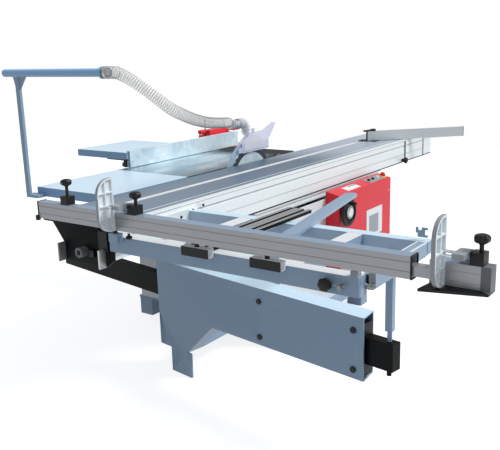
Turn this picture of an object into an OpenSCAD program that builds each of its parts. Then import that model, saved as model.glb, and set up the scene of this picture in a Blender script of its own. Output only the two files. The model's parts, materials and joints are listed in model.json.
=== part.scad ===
// Sliding table saw: cabinet, tilting saw unit, sliding carriage with outrigger, swing arm and rip fence.
// Millimetres. +X is the rip side, +Y is the outfeed end, +Z is up. The blade stands in the plane X = 0,
// its arbor lies over Y = 0, and the floor is Z = 0.

/* [Tables] */
// Height of the table top above the floor
table_z = 870; // [850:5:900]
// Thickness of the table edges
table_t = 45; // [38:1:52]
// Width of the main table across the feed
table_w = 500; // [460:10:540]
// Length of the main table along the feed
table_len = 1015; // [960:5:1080]
// Length of the outfeed table beyond the main table
outfeed_len = 540; // [440:10:640]
// Width of the rip extension table
rip_table_w = 876; // [700:4:960]
// Length of the rip extension table along the feed
rip_table_len = 510; // [460:10:560]

/* [Carriage] */
// Length of the sliding carriage
carriage_len = 3096; // [2900:4:3200]
// Width of the sliding carriage
carriage_w = 403; // [380:1:420]
// Height of the carriage section
carriage_h = 136; // [126:1:146]
// Width of the clamp slot along the carriage top
slot_w = 14; // [10:1:18]
// Length of the fixed rail that carries the carriage
rail_len = 1373; // [1250:1:1500]

/* [Outrigger] */
// Reach of the outrigger from the carriage side
outrigger_w = 1040; // [980:10:1140]
// Depth of the outrigger over both beams
outrigger_d = 505; // [460:5:540]
// Height of the outrigger beams
outrigger_h = 62; // [54:1:68]
// Width of the outrigger beams
outrigger_beam_w = 48; // [40:1:54]

/* [Crosscut fence] */
// Length of the fence profile
fence_len = 1535; // [1400:5:1600]
// Height of the fence profile
fence_h = 65; // [58:1:74]
// Thickness of the fence profile
fence_t = 42; // [40:1:48]
// Height of a flip stop plate
stop_h = 192; // [160:2:210]

/* [Swing arm] */
// Length of the sliding inner beam
beam_len = 2150; // [2050:10:2200]
// Height of the inner beam
beam_h = 105; // [98:1:112]
// Width of the inner beam
beam_w = 50; // [44:1:60]
// Length of the arm housing
housing_len = 1190; // [1100:10:1240]
// Height of the arm housing
housing_h = 248; // [236:2:262]
// Angle of the arm from the crosswise direction
arm_angle = 9.2; // [8:0.2:11]

/* [Saw unit] */
// Diameter of the main blade
blade_d = 400; // [380:5:410]
// Diameter of the scoring blade
scorer_d = 120; // [100:5:130]
// Height of the main blade above the table
blade_up = 85; // [70:5:100]
// Diameter of the main arbor
arbor_d = 30; // [26:1:34]

/* [Rip fence] */
// Length of the rip fence profile
rip_len = 1000; // [900:10:1060]
// Height of the rip fence profile
rip_h = 92; // [80:1:110]
// Distance from the blade to the rip fence
rip_x = 468; // [360:2:560]

/* [Dust boom] */
// Height of the boom pipe axis above the floor
boom_z = 1411; // [1405:1:1417]
// Diameter of the boom pipe
boom_d = 36; // [30:1:40]

/* [Hidden] */
$fn = 48;

// Shared clearances, sheet thickness and the overrun of cuts
overrun = 2;
slide_gap = 0.5;
run_gap = 0.05;
seat_gap = 0.3;
sheet_t = 4;
bolt_r = 6;
bolt_head_r = 12;

// Colours
paint = "slategray";
pale = "gainsboro";
alu = "silver";
dark = "dimgray";
red = "crimson";

// Tables
table_gap = 6;
table_front = -470;
table_rear = table_front + table_len;
table_x1 = table_gap + table_w;
table_under = table_z - table_t;
outfeed_rear = table_rear + outfeed_len;
rip_set = 5;
rip_front = table_front + rip_set;
rip_rear = rip_front + rip_table_len;
rip_x1 = table_x1 + rip_table_w;
skin_t = 14;
rib_t = 12;
bar_h = 25;
bar_w = 40;
bar_over = 180;
main_cells = [2, 4];
outfeed_cells = [2, 2];
rip_cells = [3, 2];
panel_top = table_under - bar_h;

// Cabinet
foot_h = 100;
floor_t = 12;
base_x = 525;
cab_left = -455;
cab_right = 505;
cab_front = -450;
cab_rear = 420;
cab_z0 = foot_h + floor_t;
foot_x = 480;
foot_y = 375;
foot_w = 90;
foot_d = 80;
foot_wall = 8;
anchor_r = 7;
pad_w = 60;
port_r = 60;
port_len = 70;
port_wall = 3;
port_x = 120;
port_z = 190;

// Carriage section, from its inner edge outwards
carriage_x1 = -15;
carriage_x0 = carriage_x1 - carriage_w;
carriage_rear = 1480;
carriage_front = carriage_rear - carriage_len;
carriage_z0 = table_z - carriage_h;
lip_h = 20;
lip_w = 76;
lip_cut = 26;
bevel_w = 57;
bevel_h = 73;
bevel_x = carriage_x1 - lip_w - bevel_w;
slot_in = 165;
slot_x = carriage_x1 - slot_in;
slot_depth = 16;
slot_under_w = 26;
slot_under_h = 9;
groove_w = 5;
groove_d = 4;
side_groove_drop = 37;
side_groove_z = table_z - side_groove_drop;
top_groove_in = 66;
top_groove_x = carriage_x0 + top_groove_in;
cap_t = 12;
front_block_len = 140;
cap_drop = 30;
cap_side = 38;
band_w = 15;
buffer_x = -267;
buffer_r = 20;
buffer_len = 34;
buffer_z = carriage_z0 + buffer_r;
buffer_core_share = 0.5;
cheek_t = 8;
cheek_h = 74;
cheek_len = 34;
lock_in = 489;
lock_y = carriage_front + lock_in;
knob_r = 22;

// Fixed rail under the carriage
rail_w = 156;
rail_z1 = carriage_z0 - slide_gap;
rail_h = 43;
rail_z0 = rail_z1 - rail_h;
rail_rear = 566;
rail_front = rail_rear - rail_len;
rail_x0 = carriage_x0;
rail_waist = 14;

// Outrigger
mount_t = 12;
mount_drop = 20;
out_x1 = carriage_x0 - mount_t;
out_x0 = out_x1 - outrigger_w;
near_over = 35;
out_near = carriage_rear + near_over;
out_far = out_near - outrigger_d;
out_drop = 27;
out_z1 = table_z - out_drop;
out_z0 = out_z1 - outrigger_h;
tube_t = 4;
near_cut = 25;
rail_ins = [288, 770];
slide_rail_in = 418;
slide_rail_w = 112;
slide_rail_t = 15;
slide_rail_over = 150;
slide_slot_w = 14;
slide_slot_share = 0.24;
mount_rise = 9;
far_h = 42;
far_z0 = out_z1 - far_h;
rest_ins = [429, 710];
rest_xs = [for (d = rest_ins) out_x1 - d];
cross_w = 60;
outer_w = 40;
cross_drop = 14;
star_in = 916;
star_x = out_x1 - star_in;
support_len = 780;
support_tail = 206;
support_in = 559;
support_x = out_x1 - support_in;
support_w = 56;
support_t = 12;
support_yaw = 10.6;
support_pin_r = 8;

// Crosscut fence
fence_over = 30;
fence_y1 = out_near + fence_over;
fence_y0 = fence_y1 - fence_t;
fence_mid = fence_y1 - fence_t / 2;
fence_pin_y = out_near + fence_over / 2;
fence_lift = 5;
fence_z0 = table_z + fence_lift;
fence_z1 = fence_z0 + fence_h;
fence_x1 = -81;
fence_x0 = fence_x1 - fence_len;
fence_wall = 4;
fence_web = 8;
fence_groove_shares = [0.3, 0.72];
rest_w = 116;
pin_rest_w = 44;
rest_h = 32;
rest_drop = 10;
rest_top = table_z - rest_drop;
fence_pin_x = -480;
fence_pin_r = 8;
ext_len = 970;
ext_head = 190;
ext_gap = 0.4;
ext_cap = 26;
ext_neck = 52;
foot_plate_t = 8;
foot_plate_in = 45;
foot_plate_out = 60;
foot_plate_skew = 14;
ext_x0 = fence_x0 - ext_head;
stop_w = 75;
stop_t = 12;
stop_round = 55;
stop_rim = 6;
stop_rib = 5;
stop_pocket = 8;
stop_cells = [2, 4];
stop_in = 419;
stop_x = fence_x1 - stop_in;
end_stop_in = 93;
end_stop_x = ext_x0 + end_stop_in;
saddle_w = 36;
saddle_h = 33;
pin_up = 20;
swivel_w = 32;
swivel_r = 17;
swivel_rise = 2;
swivel_reach = 44;
swivel_out = 30;
stop_pin_r = 6;
stop_pin_z = fence_z1 + pin_up;
stop_rod_r = 4;
stop_rod_ins = [16, 36];
stop_rod_rises = [14, 8];
saddle_in = swivel_out + swivel_w + slide_gap + saddle_w / 2;
inner_knob_x = -230;
knob_stem_r = 6;
knob_stem = 38;
stop_stem = 22;
knob_shift = knob_r - saddle_w / 2 + 2 * slide_gap;
knob_h = 26;

// Mitre fence on the front of the carriage
mitre_in = 556;
mitre_y = carriage_front + mitre_in;
mitre_out = 60;
mitre_len = 668;
mitre_inner = 41;
mitre_h = 62;
mitre_t = 24;
mitre_yaw = 45;
mitre_base_w = 64;
mitre_base_h = 4;
mitre_pin_r = 8;
lever_len = 90;
lever_yaw = 30;
rip_lever_yaw = -90;

// Swing arm, in a frame that stands on its pivot and follows the arm
arm_x = -230;
arm_in = 635;
arm_y = out_near - arm_in;
arm_z0 = 292;
housing_w = 90;
end_cut = 20;
housing_wall = 5;
housing_in = 147;
beam_lift = 62;
beam_z0 = arm_z0 + beam_lift;
post_r = 1125;
beam_nose = 30;
pad_h = 50;
pad_len = 70;
pad_xs = [-521, -998];
pedestal_top = 372;
pedestal_foot = 194;
pedestal_z0 = 120;
strut_lap = 8;
leg_w = 140;
leg_t = 10;
leg_in = 70;
pivot_r = 20;
pivot_h = 30;
strut_w = 110;
strut_h = 90;
post_w = 28;
post_step_z = 500;
post_pin_r = 9;
post_x = arm_x - post_r * cos(arm_angle);
post_y = arm_y + post_r * sin(arm_angle);

// Saw unit
blade_t = 3.2;
arbor_z = table_z + blade_up - blade_d / 2;
flange_r = 55;
flange_t = 8;
nut_r = 24;
nut_t = 16;
block_x0 = 14;
block_x1 = 66;
block_up = 30;
block_down = 122;
way_w = 190;
block_w = way_w - rib_t - 2 * slide_gap;
frame_x0 = 68;
frame_t = 14;
frame_y0 = -380;
frame_y1 = 280;
frame_bar_h = 40;
window_w = 100;
window_h = 290;
frame_foot = 35;
frame_z0 = arbor_z - window_h - frame_foot;
plate_x0 = frame_x0 + frame_t + slide_gap;
plate_t = 10;
pulley_r = 42;
pulley_w = 34;
pulley_gap = 6;
pulley_x0 = plate_x0 + plate_t + pulley_gap;
belt_t = 5;
belt_in = 7.5;
motor_drop = 262;
motor_r = 88;
motor_len = 230;
motor_gap = 8;
motor_plate_x0 = pulley_x0 + pulley_w + motor_gap;
motor_fins = 12;
spacer_y = 62;
trunnion_ys = [-400, 300];
trunnion_w = 30;
trunnion_r0 = 130;
trunnion_r1 = 170;
trunnion_r2 = 206;
trunnion_a0 = -80;
trunnion_a1 = -22;
trunnion_bar_a = 36;
scorer_y = -292;
scorer_t = 3.6;
scorer_up = 3;
scorer_arbor_r = 10;
scorer_flange_r = 16;
scorer_flange_t = 3;
scorer_z = table_z + scorer_up - scorer_d / 2;
scorer_bearing = 20;
knife_t = 2.6;
knife_gap = 8;
knife_w = 42;
knife_top_a = 62;
knife_mid_a = 35;
knife_low_a = -34;
knife_seat = 34;
knife_arm_t = 16;
knife_arm_gap = 4;
relief_w = 140;
guard_w = 28;
guard_wall = 3;
guard_front = -165;
guard_rear = 96;
guard_lift = 58;
guard_z0 = table_z + guard_lift;
guard_h = 98;
guard_pin_a = 58.3;
guard_pin_share = 0.39;
guard_pin_reach = blade_d / 2 + knife_gap + knife_w * guard_pin_share;
guard_pin_y = guard_pin_reach * cos(guard_pin_a);
guard_pin_z = arbor_z + guard_pin_reach * sin(guard_pin_a);
guard_pin_r = 5;
spigot_r = 18.5;
spigot_wall = 2;
ear_r = 14;
elbow_r = 44;
elbow_y = 38;
spigot_z = 1093;
spigot_end = 112;
spigot_in = 34;
collar_w = 14;
stub_y = -30;
stub_r = 9;
stub_h = 30;

// Rip fence
rip_t = 26;
rip_fence_rear = 477;
rip_gap = 3;
rod_r = 20;
rod_out = 45;
rod_y = table_front - rod_out;
rod_lift = 5;
rod_z = table_under + rod_lift;
carrier_w = 130;
carrier_rear = -307;
carrier_h = 83;
carrier_half = 40;
carrier_slot = 15;
key_h = 10;
key_in = 3;
bridge_z0 = table_z + rip_gap;
lever_r = 6;
rip_lever_len = 142;
rip_grip_len = 64;
rip_grip_r = 10.5;
tower_w = 60;
tower_h = 34;
pointer_r = 3;
pointer_h = 105;
pointer_out = 10;
rear_knob_r = 14;
rear_knob_len = 50;
rear_knob_out = 17;
lever_hub_r = 18;
lever_hub_h = 24;
lever_pin_r = 6;
lever_pin = 20;
rod_stud_share = 0.1;

// Control box and hand wheels
box_x0 = -540;
box_front = -689;
box_rear = -45;
box_z0 = 300;
box_z1 = 712;
box_rise = 18;
box_slope = atan(box_rise / (cab_left - box_x0));
wheel_r = 68;
wheel_y = -80;
wheel_z = 622;
wheel_out = 34;
hub_r = 24;
hub_len = 26;
rim_r = 9;
web_t = 6;
grip_r = 9;
grip_len = 52;
shaft_r = 8;
shaft_deep = 30;
lift_wheel_x = -120;
lift_wheel_z = 560;
button_r = 17;
button_h = 22;
button_travel = 4;
button_well = 10;
button_y = -655;
button_in = 42;

// Dust boom and hose
boom_x0 = -82;
boom_x1 = 605;
boom_back = 41;
boom_y = outfeed_rear + boom_back;
boom_wall = 3;
mast_x = 515;
mast_w = 26;
mast_t = 14;
mast_foot = 60;
gusset = 60;
hose_r = 26;
hose_root_r = 22.6;
hose_bore_r = 20.8;
hose_sides = 8;
hose_ribs = 140;
hose_route = [
  [-60, 1126, 1411], [-115, 1126, 1411], [-130, 1126, 1411], [-185, 1116, 1388], [-240, 1086, 1344],
  [-280, 1040, 1295], [-302, 985, 1251], [-305, 920, 1223], [-290, 840, 1198], [-262, 750, 1178],
  [-228, 660, 1162], [-190, 570, 1150], [-150, 480, 1139], [-112, 390, 1130], [-72, 300, 1121],
  [-34, 240, 1112], [-12, 206, 1102], [0, 184, 1094], [0, 168, 1093], [0, 112, 1093]
];
hose_step_share = 0.01;

// Box between two corners
module span(x0, x1, y0, y1, z0, z1) {
  translate([x0, y0, z0]) cube([x1 - x0, y1 - y0, z1 - z0]);
}

// Round bars along each axis, from a start point
module bar_x(r, len) rotate([0, 90, 0]) cylinder(r = r, h = len);
module bar_y(r, len) rotate([-90, 0, 0]) cylinder(r = r, h = len);
module bar_z(r, len) cylinder(r = r, h = len);

// Hollow rectangular tube between two corners, open along X or Y
module tube_x(x0, x1, y0, y1, z0, z1, wall) {
  difference() {
    span(x0, x1, y0, y1, z0, z1);
    span(x0 - overrun, x1 + overrun, y0 + wall, y1 - wall, z0 + wall, z1 - wall);
  }
}
module tube_y(x0, x1, y0, y1, z0, z1, wall) {
  difference() {
    span(x0, x1, y0, y1, z0, z1);
    span(x0 + wall, x1 - wall, y0 - overrun, y1 + overrun, z0 + wall, z1 - wall);
  }
}

// Moulded clamp knob with a stem, standing on the origin
module clamp_knob(r, stem) {
  bar_z(knob_stem_r, stem);
  translate([0, 0, stem]) rotate_extrude()
    polygon([[0, 0], [r * knob_neck_share, 0], [r, knob_h / 3], [r, knob_h * knob_side_share],
             [r * knob_top_share, knob_h], [0, knob_h]]);
}
knob_neck_share = 0.7;
knob_side_share = 0.75;
knob_top_share = 0.8;

// Cast table: a plate with a rim and ribs under it
module cast_table(x0, x1, y0, y1, cells) {
  step_x = (x1 - x0 - rib_t) / cells[0];
  step_y = (y1 - y0 - rib_t) / cells[1];
  difference() {
    span(x0, x1, y0, y1, table_under, table_z);
    for (i = [0 : cells[0] - 1], j = [0 : cells[1] - 1])
      translate([x0 + rib_t + i * step_x, y0 + rib_t + j * step_y, table_under - overrun])
        cube([step_x - rib_t, step_y - rib_t, table_t - skin_t + overrun]);
  }
}
module main_table() color(alu) difference() {
  cast_table(table_gap, table_x1, table_front, table_rear, main_cells);
  span(table_gap - overrun, table_gap + rib_t + overrun, -relief_w / 2, relief_w / 2,
       table_under - overrun, table_z - skin_t);
}
module outfeed_table() color(paint) cast_table(table_gap, table_x1, table_rear, outfeed_rear, outfeed_cells);
module rip_table() color(paint) cast_table(table_x1, rip_x1, rip_front, rip_rear, rip_cells);

// Bars that join the tables, and the pads between the cabinet and the main table
bar_share = 0.22;
module table_brackets() color(dark) {
  for (s = [bar_share, 1 - bar_share]) {
    x = table_gap + table_w * s;
    span(x - bar_w / 2, x + bar_w / 2, cab_rear, outfeed_rear - bar_over, panel_top, table_under);
    y = rip_front + rip_table_len * s;
    span(cab_right - sheet_t, rip_x1 - bar_over, y - bar_w / 2, y + bar_w / 2, panel_top, table_under);
  }
  for (y = [cab_front, cab_rear - pad_w])
    span(cab_right - pad_w, cab_right, y, y + pad_w, panel_top, table_under);
  for (y = [cab_front, cab_rear - sheet_t])
    span(table_gap, table_gap + pad_w, y, y + sheet_t, panel_top, table_under);
}

// End panel of the cabinet, stepped under the carriage
module end_panel(y) {
  translate([0, y + sheet_t, 0]) rotate([90, 0, 0]) linear_extrude(sheet_t)
    polygon([[cab_left + sheet_t, cab_z0], [cab_right - sheet_t, cab_z0], [cab_right - sheet_t, panel_top],
             [table_gap, panel_top], [bevel_x, rail_z0], [cab_left + sheet_t, rail_z0]]);
}
module cabinet_front() color(pale) difference() {
  end_panel(cab_front);
  translate([lift_wheel_x, cab_front - overrun, lift_wheel_z])
    bar_y(shaft_r + run_gap, sheet_t + 2 * overrun);
}
module cabinet_rear() color(pale) difference() {
  end_panel(cab_rear - sheet_t);
  translate([port_x, cab_rear - sheet_t - overrun, port_z]) bar_y(port_r - port_wall, sheet_t + 2 * overrun);
}
module cabinet_left() color(pale)
  span(cab_left, cab_left + sheet_t, cab_front, cab_rear, cab_z0, rail_z0);
module cabinet_door() color(pale) {
  span(cab_right - sheet_t, cab_right, cab_front, cab_rear, cab_z0, panel_top);
  translate([cab_right, (cab_front + cab_rear) / 2, (cab_z0 + panel_top) / 2])
    bar_x(bolt_head_r, bolt_head_r);
}
module dust_port() color(dark) translate([port_x, cab_rear, port_z]) difference() {
  bar_y(port_r, port_len);
  translate([0, -overrun, 0]) bar_y(port_r - port_wall, port_len + 2 * overrun);
}

// Floor plate of the cabinet on four hollow feet with anchor holes
module base_frame() color(paint) difference() {
  union() {
    span(-base_x, base_x, cab_front, cab_rear, foot_h, cab_z0);
    for (sx = [-1, 1], sy = [-1, 1])
      translate([sx * foot_x - foot_w / 2, sy * foot_y - foot_d / 2, 0]) cube([foot_w, foot_d, foot_h]);
  }
  for (sx = [-1, 1], sy = [-1, 1]) translate([sx * foot_x, sy * foot_y, 0]) {
    translate([0, 0, -overrun]) bar_z(anchor_r, cab_z0 + 2 * overrun);
    translate([foot_wall - foot_w / 2, foot_wall - foot_d / 2, floor_t])
      cube([foot_w - 2 * foot_wall, foot_d - 2 * foot_wall, foot_h - floor_t]);
  }
}

// Curved ways under the table, on which the saw unit tilts about the line X = 0 of the table top
module ring_sector(y, r0, r1, a0, a1) {
  translate([0, y - trunnion_w / 2, table_z]) rotate([-90, 0, 0]) rotate([0, 0, -a1])
    rotate_extrude(angle = a1 - a0) translate([r0, 0]) square([r1 - r0, trunnion_w]);
}
module trunnion_guides() color(dark) for (y = trunnion_ys) {
  ring_sector(y, trunnion_r1 + slide_gap, trunnion_r2, trunnion_a0, trunnion_a1);
  x = (trunnion_r1 + slide_gap) * cos(trunnion_a1);
  span(x, table_gap + (table_w + rib_t) / 2, y - trunnion_w / 2, y + trunnion_w / 2,
       table_z - trunnion_r2 * sin(-trunnion_a1), table_under);
}

// Fixed rail with a waist on both sides
module guide_rail() color(dark) difference() {
  span(rail_x0, rail_x0 + rail_w, rail_front, rail_rear, rail_z0, rail_z1);
  for (x = [rail_x0 - overrun, rail_x0 + rail_w - rail_waist])
    span(x, x + rail_waist + overrun, rail_front - overrun, rail_rear + overrun,
         rail_z0 + rail_waist, rail_z1 - rail_waist);
}

// Control box with a sloped top, a well for the stop button and a bearing for the tilt wheel
module box_top() translate([box_x0, 0, box_z1]) rotate([0, -box_slope, 0]) children();
module control_box() color(red) difference() {
  translate([0, box_rear, 0]) rotate([90, 0, 0]) linear_extrude(box_rear - box_front)
    polygon([[box_x0, box_z0], [cab_left, box_z0], [cab_left, box_z1 + box_rise], [box_x0, box_z1]]);
  box_top() translate([button_in, button_y, -button_well])
    bar_z(button_r + seat_gap, button_well + overrun);
  translate([box_x0 - overrun, wheel_y, wheel_z]) bar_x(shaft_r + run_gap, shaft_deep + overrun);
}
module stop_button() color(red) box_top() translate([button_in, button_y, 0]) {
  translate([0, 0, button_travel + seat_gap - button_well])
    bar_z(button_r, button_well - button_travel - seat_gap);
  rotate_extrude()
    polygon([[0, 0], [button_r, 0], [button_r, button_h / 2], [button_r * knob_neck_share, button_h],
             [0, button_h]]);
}

// Dished hand wheel with a solid web, on a shaft; the wheel faces -X from the origin
module hand_wheel(stem) {
  rotate([0, -90, 0]) {
    translate([0, 0, -stem]) bar_z(shaft_r, stem);
    bar_z(hub_r, hub_len);
    rotate_extrude()
      polygon([[hub_r - overrun, hub_len - web_t], [wheel_r, wheel_out], [wheel_r, wheel_out + web_t],
               [hub_r - overrun, hub_len]]);
    translate([0, 0, wheel_out + web_t / 2]) rotate_extrude() translate([wheel_r, 0]) circle(rim_r);
    neck = grip_r * knob_neck_share;
    translate([wheel_r - rim_r - grip_r, 0, wheel_out]) rotate_extrude()
      polygon([[0, 0], [neck, 0], [neck, web_t], [grip_r, web_t + neck], [grip_r, grip_len - web_t],
               [0, grip_len]]);
  }
}
module tilt_wheel() color(dark)
  translate([box_x0 - slide_gap, wheel_y, wheel_z]) hand_wheel(shaft_deep);
module lift_wheel() color(dark)
  translate([lift_wheel_x, cab_front - slide_gap, lift_wheel_z]) rotate([0, 0, 90]) hand_wheel(shaft_deep);

// Carriage section with a clamp slot, a top groove and a side groove
module carriage_section() {
  difference() {
    polygon([[carriage_x1, table_z], [carriage_x0, table_z], [carriage_x0, carriage_z0],
             [bevel_x, carriage_z0], [bevel_x, table_z - lip_h - bevel_h],
             [carriage_x1 - lip_w, table_z - lip_h], [carriage_x1 - lip_cut, table_z - lip_h]]);
    translate([slot_x - slot_w / 2, table_z - slot_depth]) square([slot_w, slot_depth + overrun]);
    translate([slot_x - slot_under_w / 2, table_z - slot_depth]) square([slot_under_w, slot_under_h]);
    translate([top_groove_x, table_z - groove_d]) square([groove_w, groove_d + overrun]);
    translate([carriage_x0 - overrun, side_groove_z - groove_w]) square([groove_d + overrun, groove_w]);
  }
}
module along_y(y0, y1) translate([0, y1, 0]) rotate([90, 0, 0]) linear_extrude(y1 - y0) children();
module carriage_beam() color(alu)
  along_y(carriage_front + front_block_len, carriage_rear) carriage_section();
module carriage_front_block() color(alu) difference() {
  along_y(carriage_front, carriage_front + front_block_len) carriage_section();
  span(carriage_x0 - overrun, carriage_x0 + groove_d, carriage_front + front_block_len - band_w,
       carriage_front + front_block_len + overrun, carriage_z0 - overrun, table_z - groove_d);
}
module carriage_rear_cap() color(dark) along_y(carriage_rear, carriage_rear + cap_t)
  polygon([[carriage_x1, table_z], [carriage_x0, table_z], [carriage_x0, carriage_z0],
           [carriage_x0 + cap_side, carriage_z0 - cap_drop],
           [bevel_x, carriage_z0 - cap_drop], [bevel_x, table_z - lip_h - bevel_h],
           [carriage_x1 - lip_w, table_z - lip_h], [carriage_x1 - lip_cut, table_z - lip_h]]);
module end_bracket() color(pale) {
  y = carriage_rear + cap_t;
  for (x = [bevel_x, carriage_x0 + cap_side + cheek_t])
    span(x - cheek_t, x, y, y + cheek_len, carriage_z0 - cap_drop, carriage_z0 - cap_drop + cheek_h);
}
module end_buffer() color(dark) translate([buffer_x, carriage_rear + cap_t, buffer_z]) difference() {
  bar_y(buffer_r, buffer_len);
  translate([0, buffer_len * buffer_core_share, 0]) bar_y(buffer_r * buffer_core_share, buffer_len);
}
module lock_knob() color(dark) translate([carriage_x0, lock_y, carriage_z0 + knob_r / 2])
  rotate([0, -90, 0]) clamp_knob(knob_r, knob_h / 2);

// Outrigger frame
module outrigger_mount() color(alu)
  span(out_x1, carriage_x0, out_far, carriage_rear, out_z0 - mount_drop, out_z1 + mount_rise);
module near_beam() color(paint) difference() {
  tube_x(out_x0 + near_cut, out_x1, out_near - outrigger_beam_w, out_near, out_z0, out_z1, tube_t);
  translate([star_x, out_near - tube_t - overrun, out_z0 + outrigger_h / 2])
    bar_y(knob_stem_r + run_gap, tube_t + 2 * overrun);
}
module far_beam() color(paint) difference() {
  tube_x(out_x0, out_x1, out_far, out_far + outrigger_beam_w, far_z0, out_z1, tube_t);
  translate([support_x, out_far + outrigger_beam_w / 2, out_z1 - tube_t - overrun])
    bar_z(support_pin_r + run_gap, tube_t + 2 * overrun);
}
module cross_members() color(alu) {
  y0 = out_far + outrigger_beam_w;
  y1 = out_near - outrigger_beam_w;
  for (d = rail_ins) translate([out_x1 - d, 0, 0])
    tube_y(-cross_w / 2, cross_w / 2, y0, y1, out_z0 + cross_drop, out_z1, tube_t);
  tube_y(out_x0, out_x0 + outer_w, y0, y1, out_z0 + cross_drop, out_z1, tube_t);
  translate([out_x1 - slide_rail_in, 0, out_z1]) difference() {
    span(-slide_rail_w / 2, slide_rail_w / 2, out_far - slide_rail_over, out_near, 0, slide_rail_t);
    for (s = [slide_slot_share, 1 - slide_slot_share])
      translate([slide_rail_w * (s - 1 / 2) - slide_slot_w / 2, 0, 0])
        span(0, slide_slot_w, out_far - slide_rail_over - overrun, out_near + overrun, slide_rail_t / 3,
             slide_rail_t + overrun);
  }
}
module outrigger_post() color(paint) translate([post_x, post_y, 0]) {
  translate([-post_w / 2, -post_w / 2, post_step_z]) cube([post_w, post_w, far_z0 - post_step_z]);
  translate([0, 0, beam_z0 + beam_h + slide_gap])
    bar_z(post_pin_r, post_step_z - beam_z0 - beam_h - slide_gap);
}
module fence_rests() color(dark) {
  for (x = concat([fence_pin_x], rest_xs)) {
    w = (x == fence_pin_x) ? pin_rest_w : rest_w;
    span(x - w / 2, x + w / 2, out_near, fence_y1, rest_top - rest_h, rest_top);
    pin = (x == fence_pin_x) ? fence_z0 + fence_web : fence_z0;
    translate([x, fence_pin_y, rest_top]) bar_z(fence_pin_r, pin - rest_top);
  }
}
module star_knob() color(dark) translate([star_x, out_near, out_z0 + outrigger_h / 2]) rotate([-90, 0, 0]) {
  translate([0, 0, -tube_t]) bar_z(knob_stem_r, tube_t);
  translate([0, 0, slide_gap]) clamp_knob(knob_r, knob_h / 3);
}
module support_bar() color(paint)
  translate([support_x, out_far + outrigger_beam_w / 2, out_z1 + slide_gap]) rotate([0, 0, support_yaw]) {
    translate([0, 0, -tube_t - slide_gap]) bar_z(support_pin_r, tube_t + slide_gap);
    y0 = support_tail - support_len + support_w / 2;
    y1 = support_tail - support_w / 2;
    span(-support_w / 2, support_w / 2, y0, y1, 0, support_t);
    for (y = [y0, y1]) translate([0, y, 0]) bar_z(support_w / 2, support_t);
  }

// Crosscut fence: hollow profile with a working web, long grooves and a bore for the pivot pin
module fence_profile() color(alu) difference() {
  span(fence_x0, fence_x1, fence_y0, fence_y1, fence_z0, fence_z1);
  span(fence_x0 - overrun, fence_x1 + overrun, fence_y0 + fence_wall, fence_y1 - fence_wall,
       fence_z0 + fence_web, fence_z1 - fence_wall);
  for (s = fence_groove_shares) translate([0, 0, fence_z0 + fence_h * s])
    span(fence_x0 - overrun, fence_x1 + overrun, fence_y1 - groove_d / 2, fence_y1 + overrun,
         0, groove_w / 2);
  translate([fence_pin_x, fence_pin_y, fence_z0 - overrun])
    bar_z(fence_pin_r + run_gap, fence_web + 2 * overrun);
}
module saddle(x) span(x - saddle_w / 2, x + saddle_w / 2, fence_y0, fence_y1, fence_z1, fence_z1 + saddle_h);
module fence_knob() color(dark) {
  saddle(inner_knob_x);
  translate([inner_knob_x, fence_mid, fence_z1 + saddle_h]) clamp_knob(knob_r, knob_stem);
}
module fence_extension() color(alu) {
  g = fence_wall + ext_gap;
  span(fence_x0 - ext_neck - overrun, fence_x0 + ext_len, fence_y0 + g, fence_y1 - g,
       fence_z0 + fence_web + ext_gap, fence_z1 - g - fence_h / 3);
  span(ext_x0, fence_x0 - ext_neck, fence_y0, fence_y1, fence_z0, fence_z1);
}
module extension_foot() color(dark) {
  x = ext_x0;
  near = fence_x0 - foot_plate_in;
  span(x - ext_cap, x, fence_y0, fence_y1, fence_z0, fence_z1);
  translate([0, 0, fence_z0 - foot_plate_t]) linear_extrude(foot_plate_t)
    polygon([[near, fence_y1 + foot_plate_out], [near - foot_plate_skew, fence_y0], [x - ext_cap, fence_y0],
             [x - ext_cap, fence_y1 + foot_plate_skew]]);
  stop_clamp(end_stop_x);
}

// Clamp block on the fence with its knob and the pin of a flip stop, for a stop whose face is at x
module stop_clamp(x) translate([x - saddle_in, 0, 0]) {
  saddle(0);
  translate([-knob_shift, fence_mid, fence_z1 + saddle_h]) clamp_knob(knob_r, stop_stem);
  translate([0, fence_mid, stop_pin_z]) bar_x(stop_pin_r, saddle_in - swivel_out);
}

// Flip stop: a plate with two round corners and a grid of pockets, on a swivel beside the clamp block
module stop_outline(x, t, inset) {
  y0 = fence_y1 + slide_gap + inset;
  y1 = fence_y1 + slide_gap + stop_w - inset;
  z0 = fence_z0 + seat_gap + inset;
  z1 = fence_z0 + seat_gap + stop_h - inset;
  r = stop_round - inset;
  intersection() {
    span(x, x + t, y0, y1, z0, z1);
    union() {
      span(x, x + t, y0, y1 - r, z0, z1);
      span(x, x + t, y0, y1, z0 + r, z1 - r);
      for (z = [z0 + r, z1 - r]) translate([x, y1 - r, z]) bar_x(r, t);
    }
  }
}
module stop_plate(x) difference() {
  step_y = (stop_w - 2 * stop_rim + stop_rib) / stop_cells[0];
  step_z = (stop_h - 2 * stop_rim + stop_rib) / stop_cells[1];
  stop_outline(x, stop_t, 0);
  intersection() {
    stop_outline(x - overrun, stop_pocket + overrun, stop_rim);
    for (i = [0 : stop_cells[0] - 1], j = [0 : stop_cells[1] - 1])
      translate([x - overrun, fence_y1 + slide_gap + stop_rim + i * step_y,
                 fence_z0 + seat_gap + stop_rim + j * step_z])
        cube([stop_pocket + overrun, step_y - stop_rib, step_z - stop_rib]);
  }
}
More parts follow.
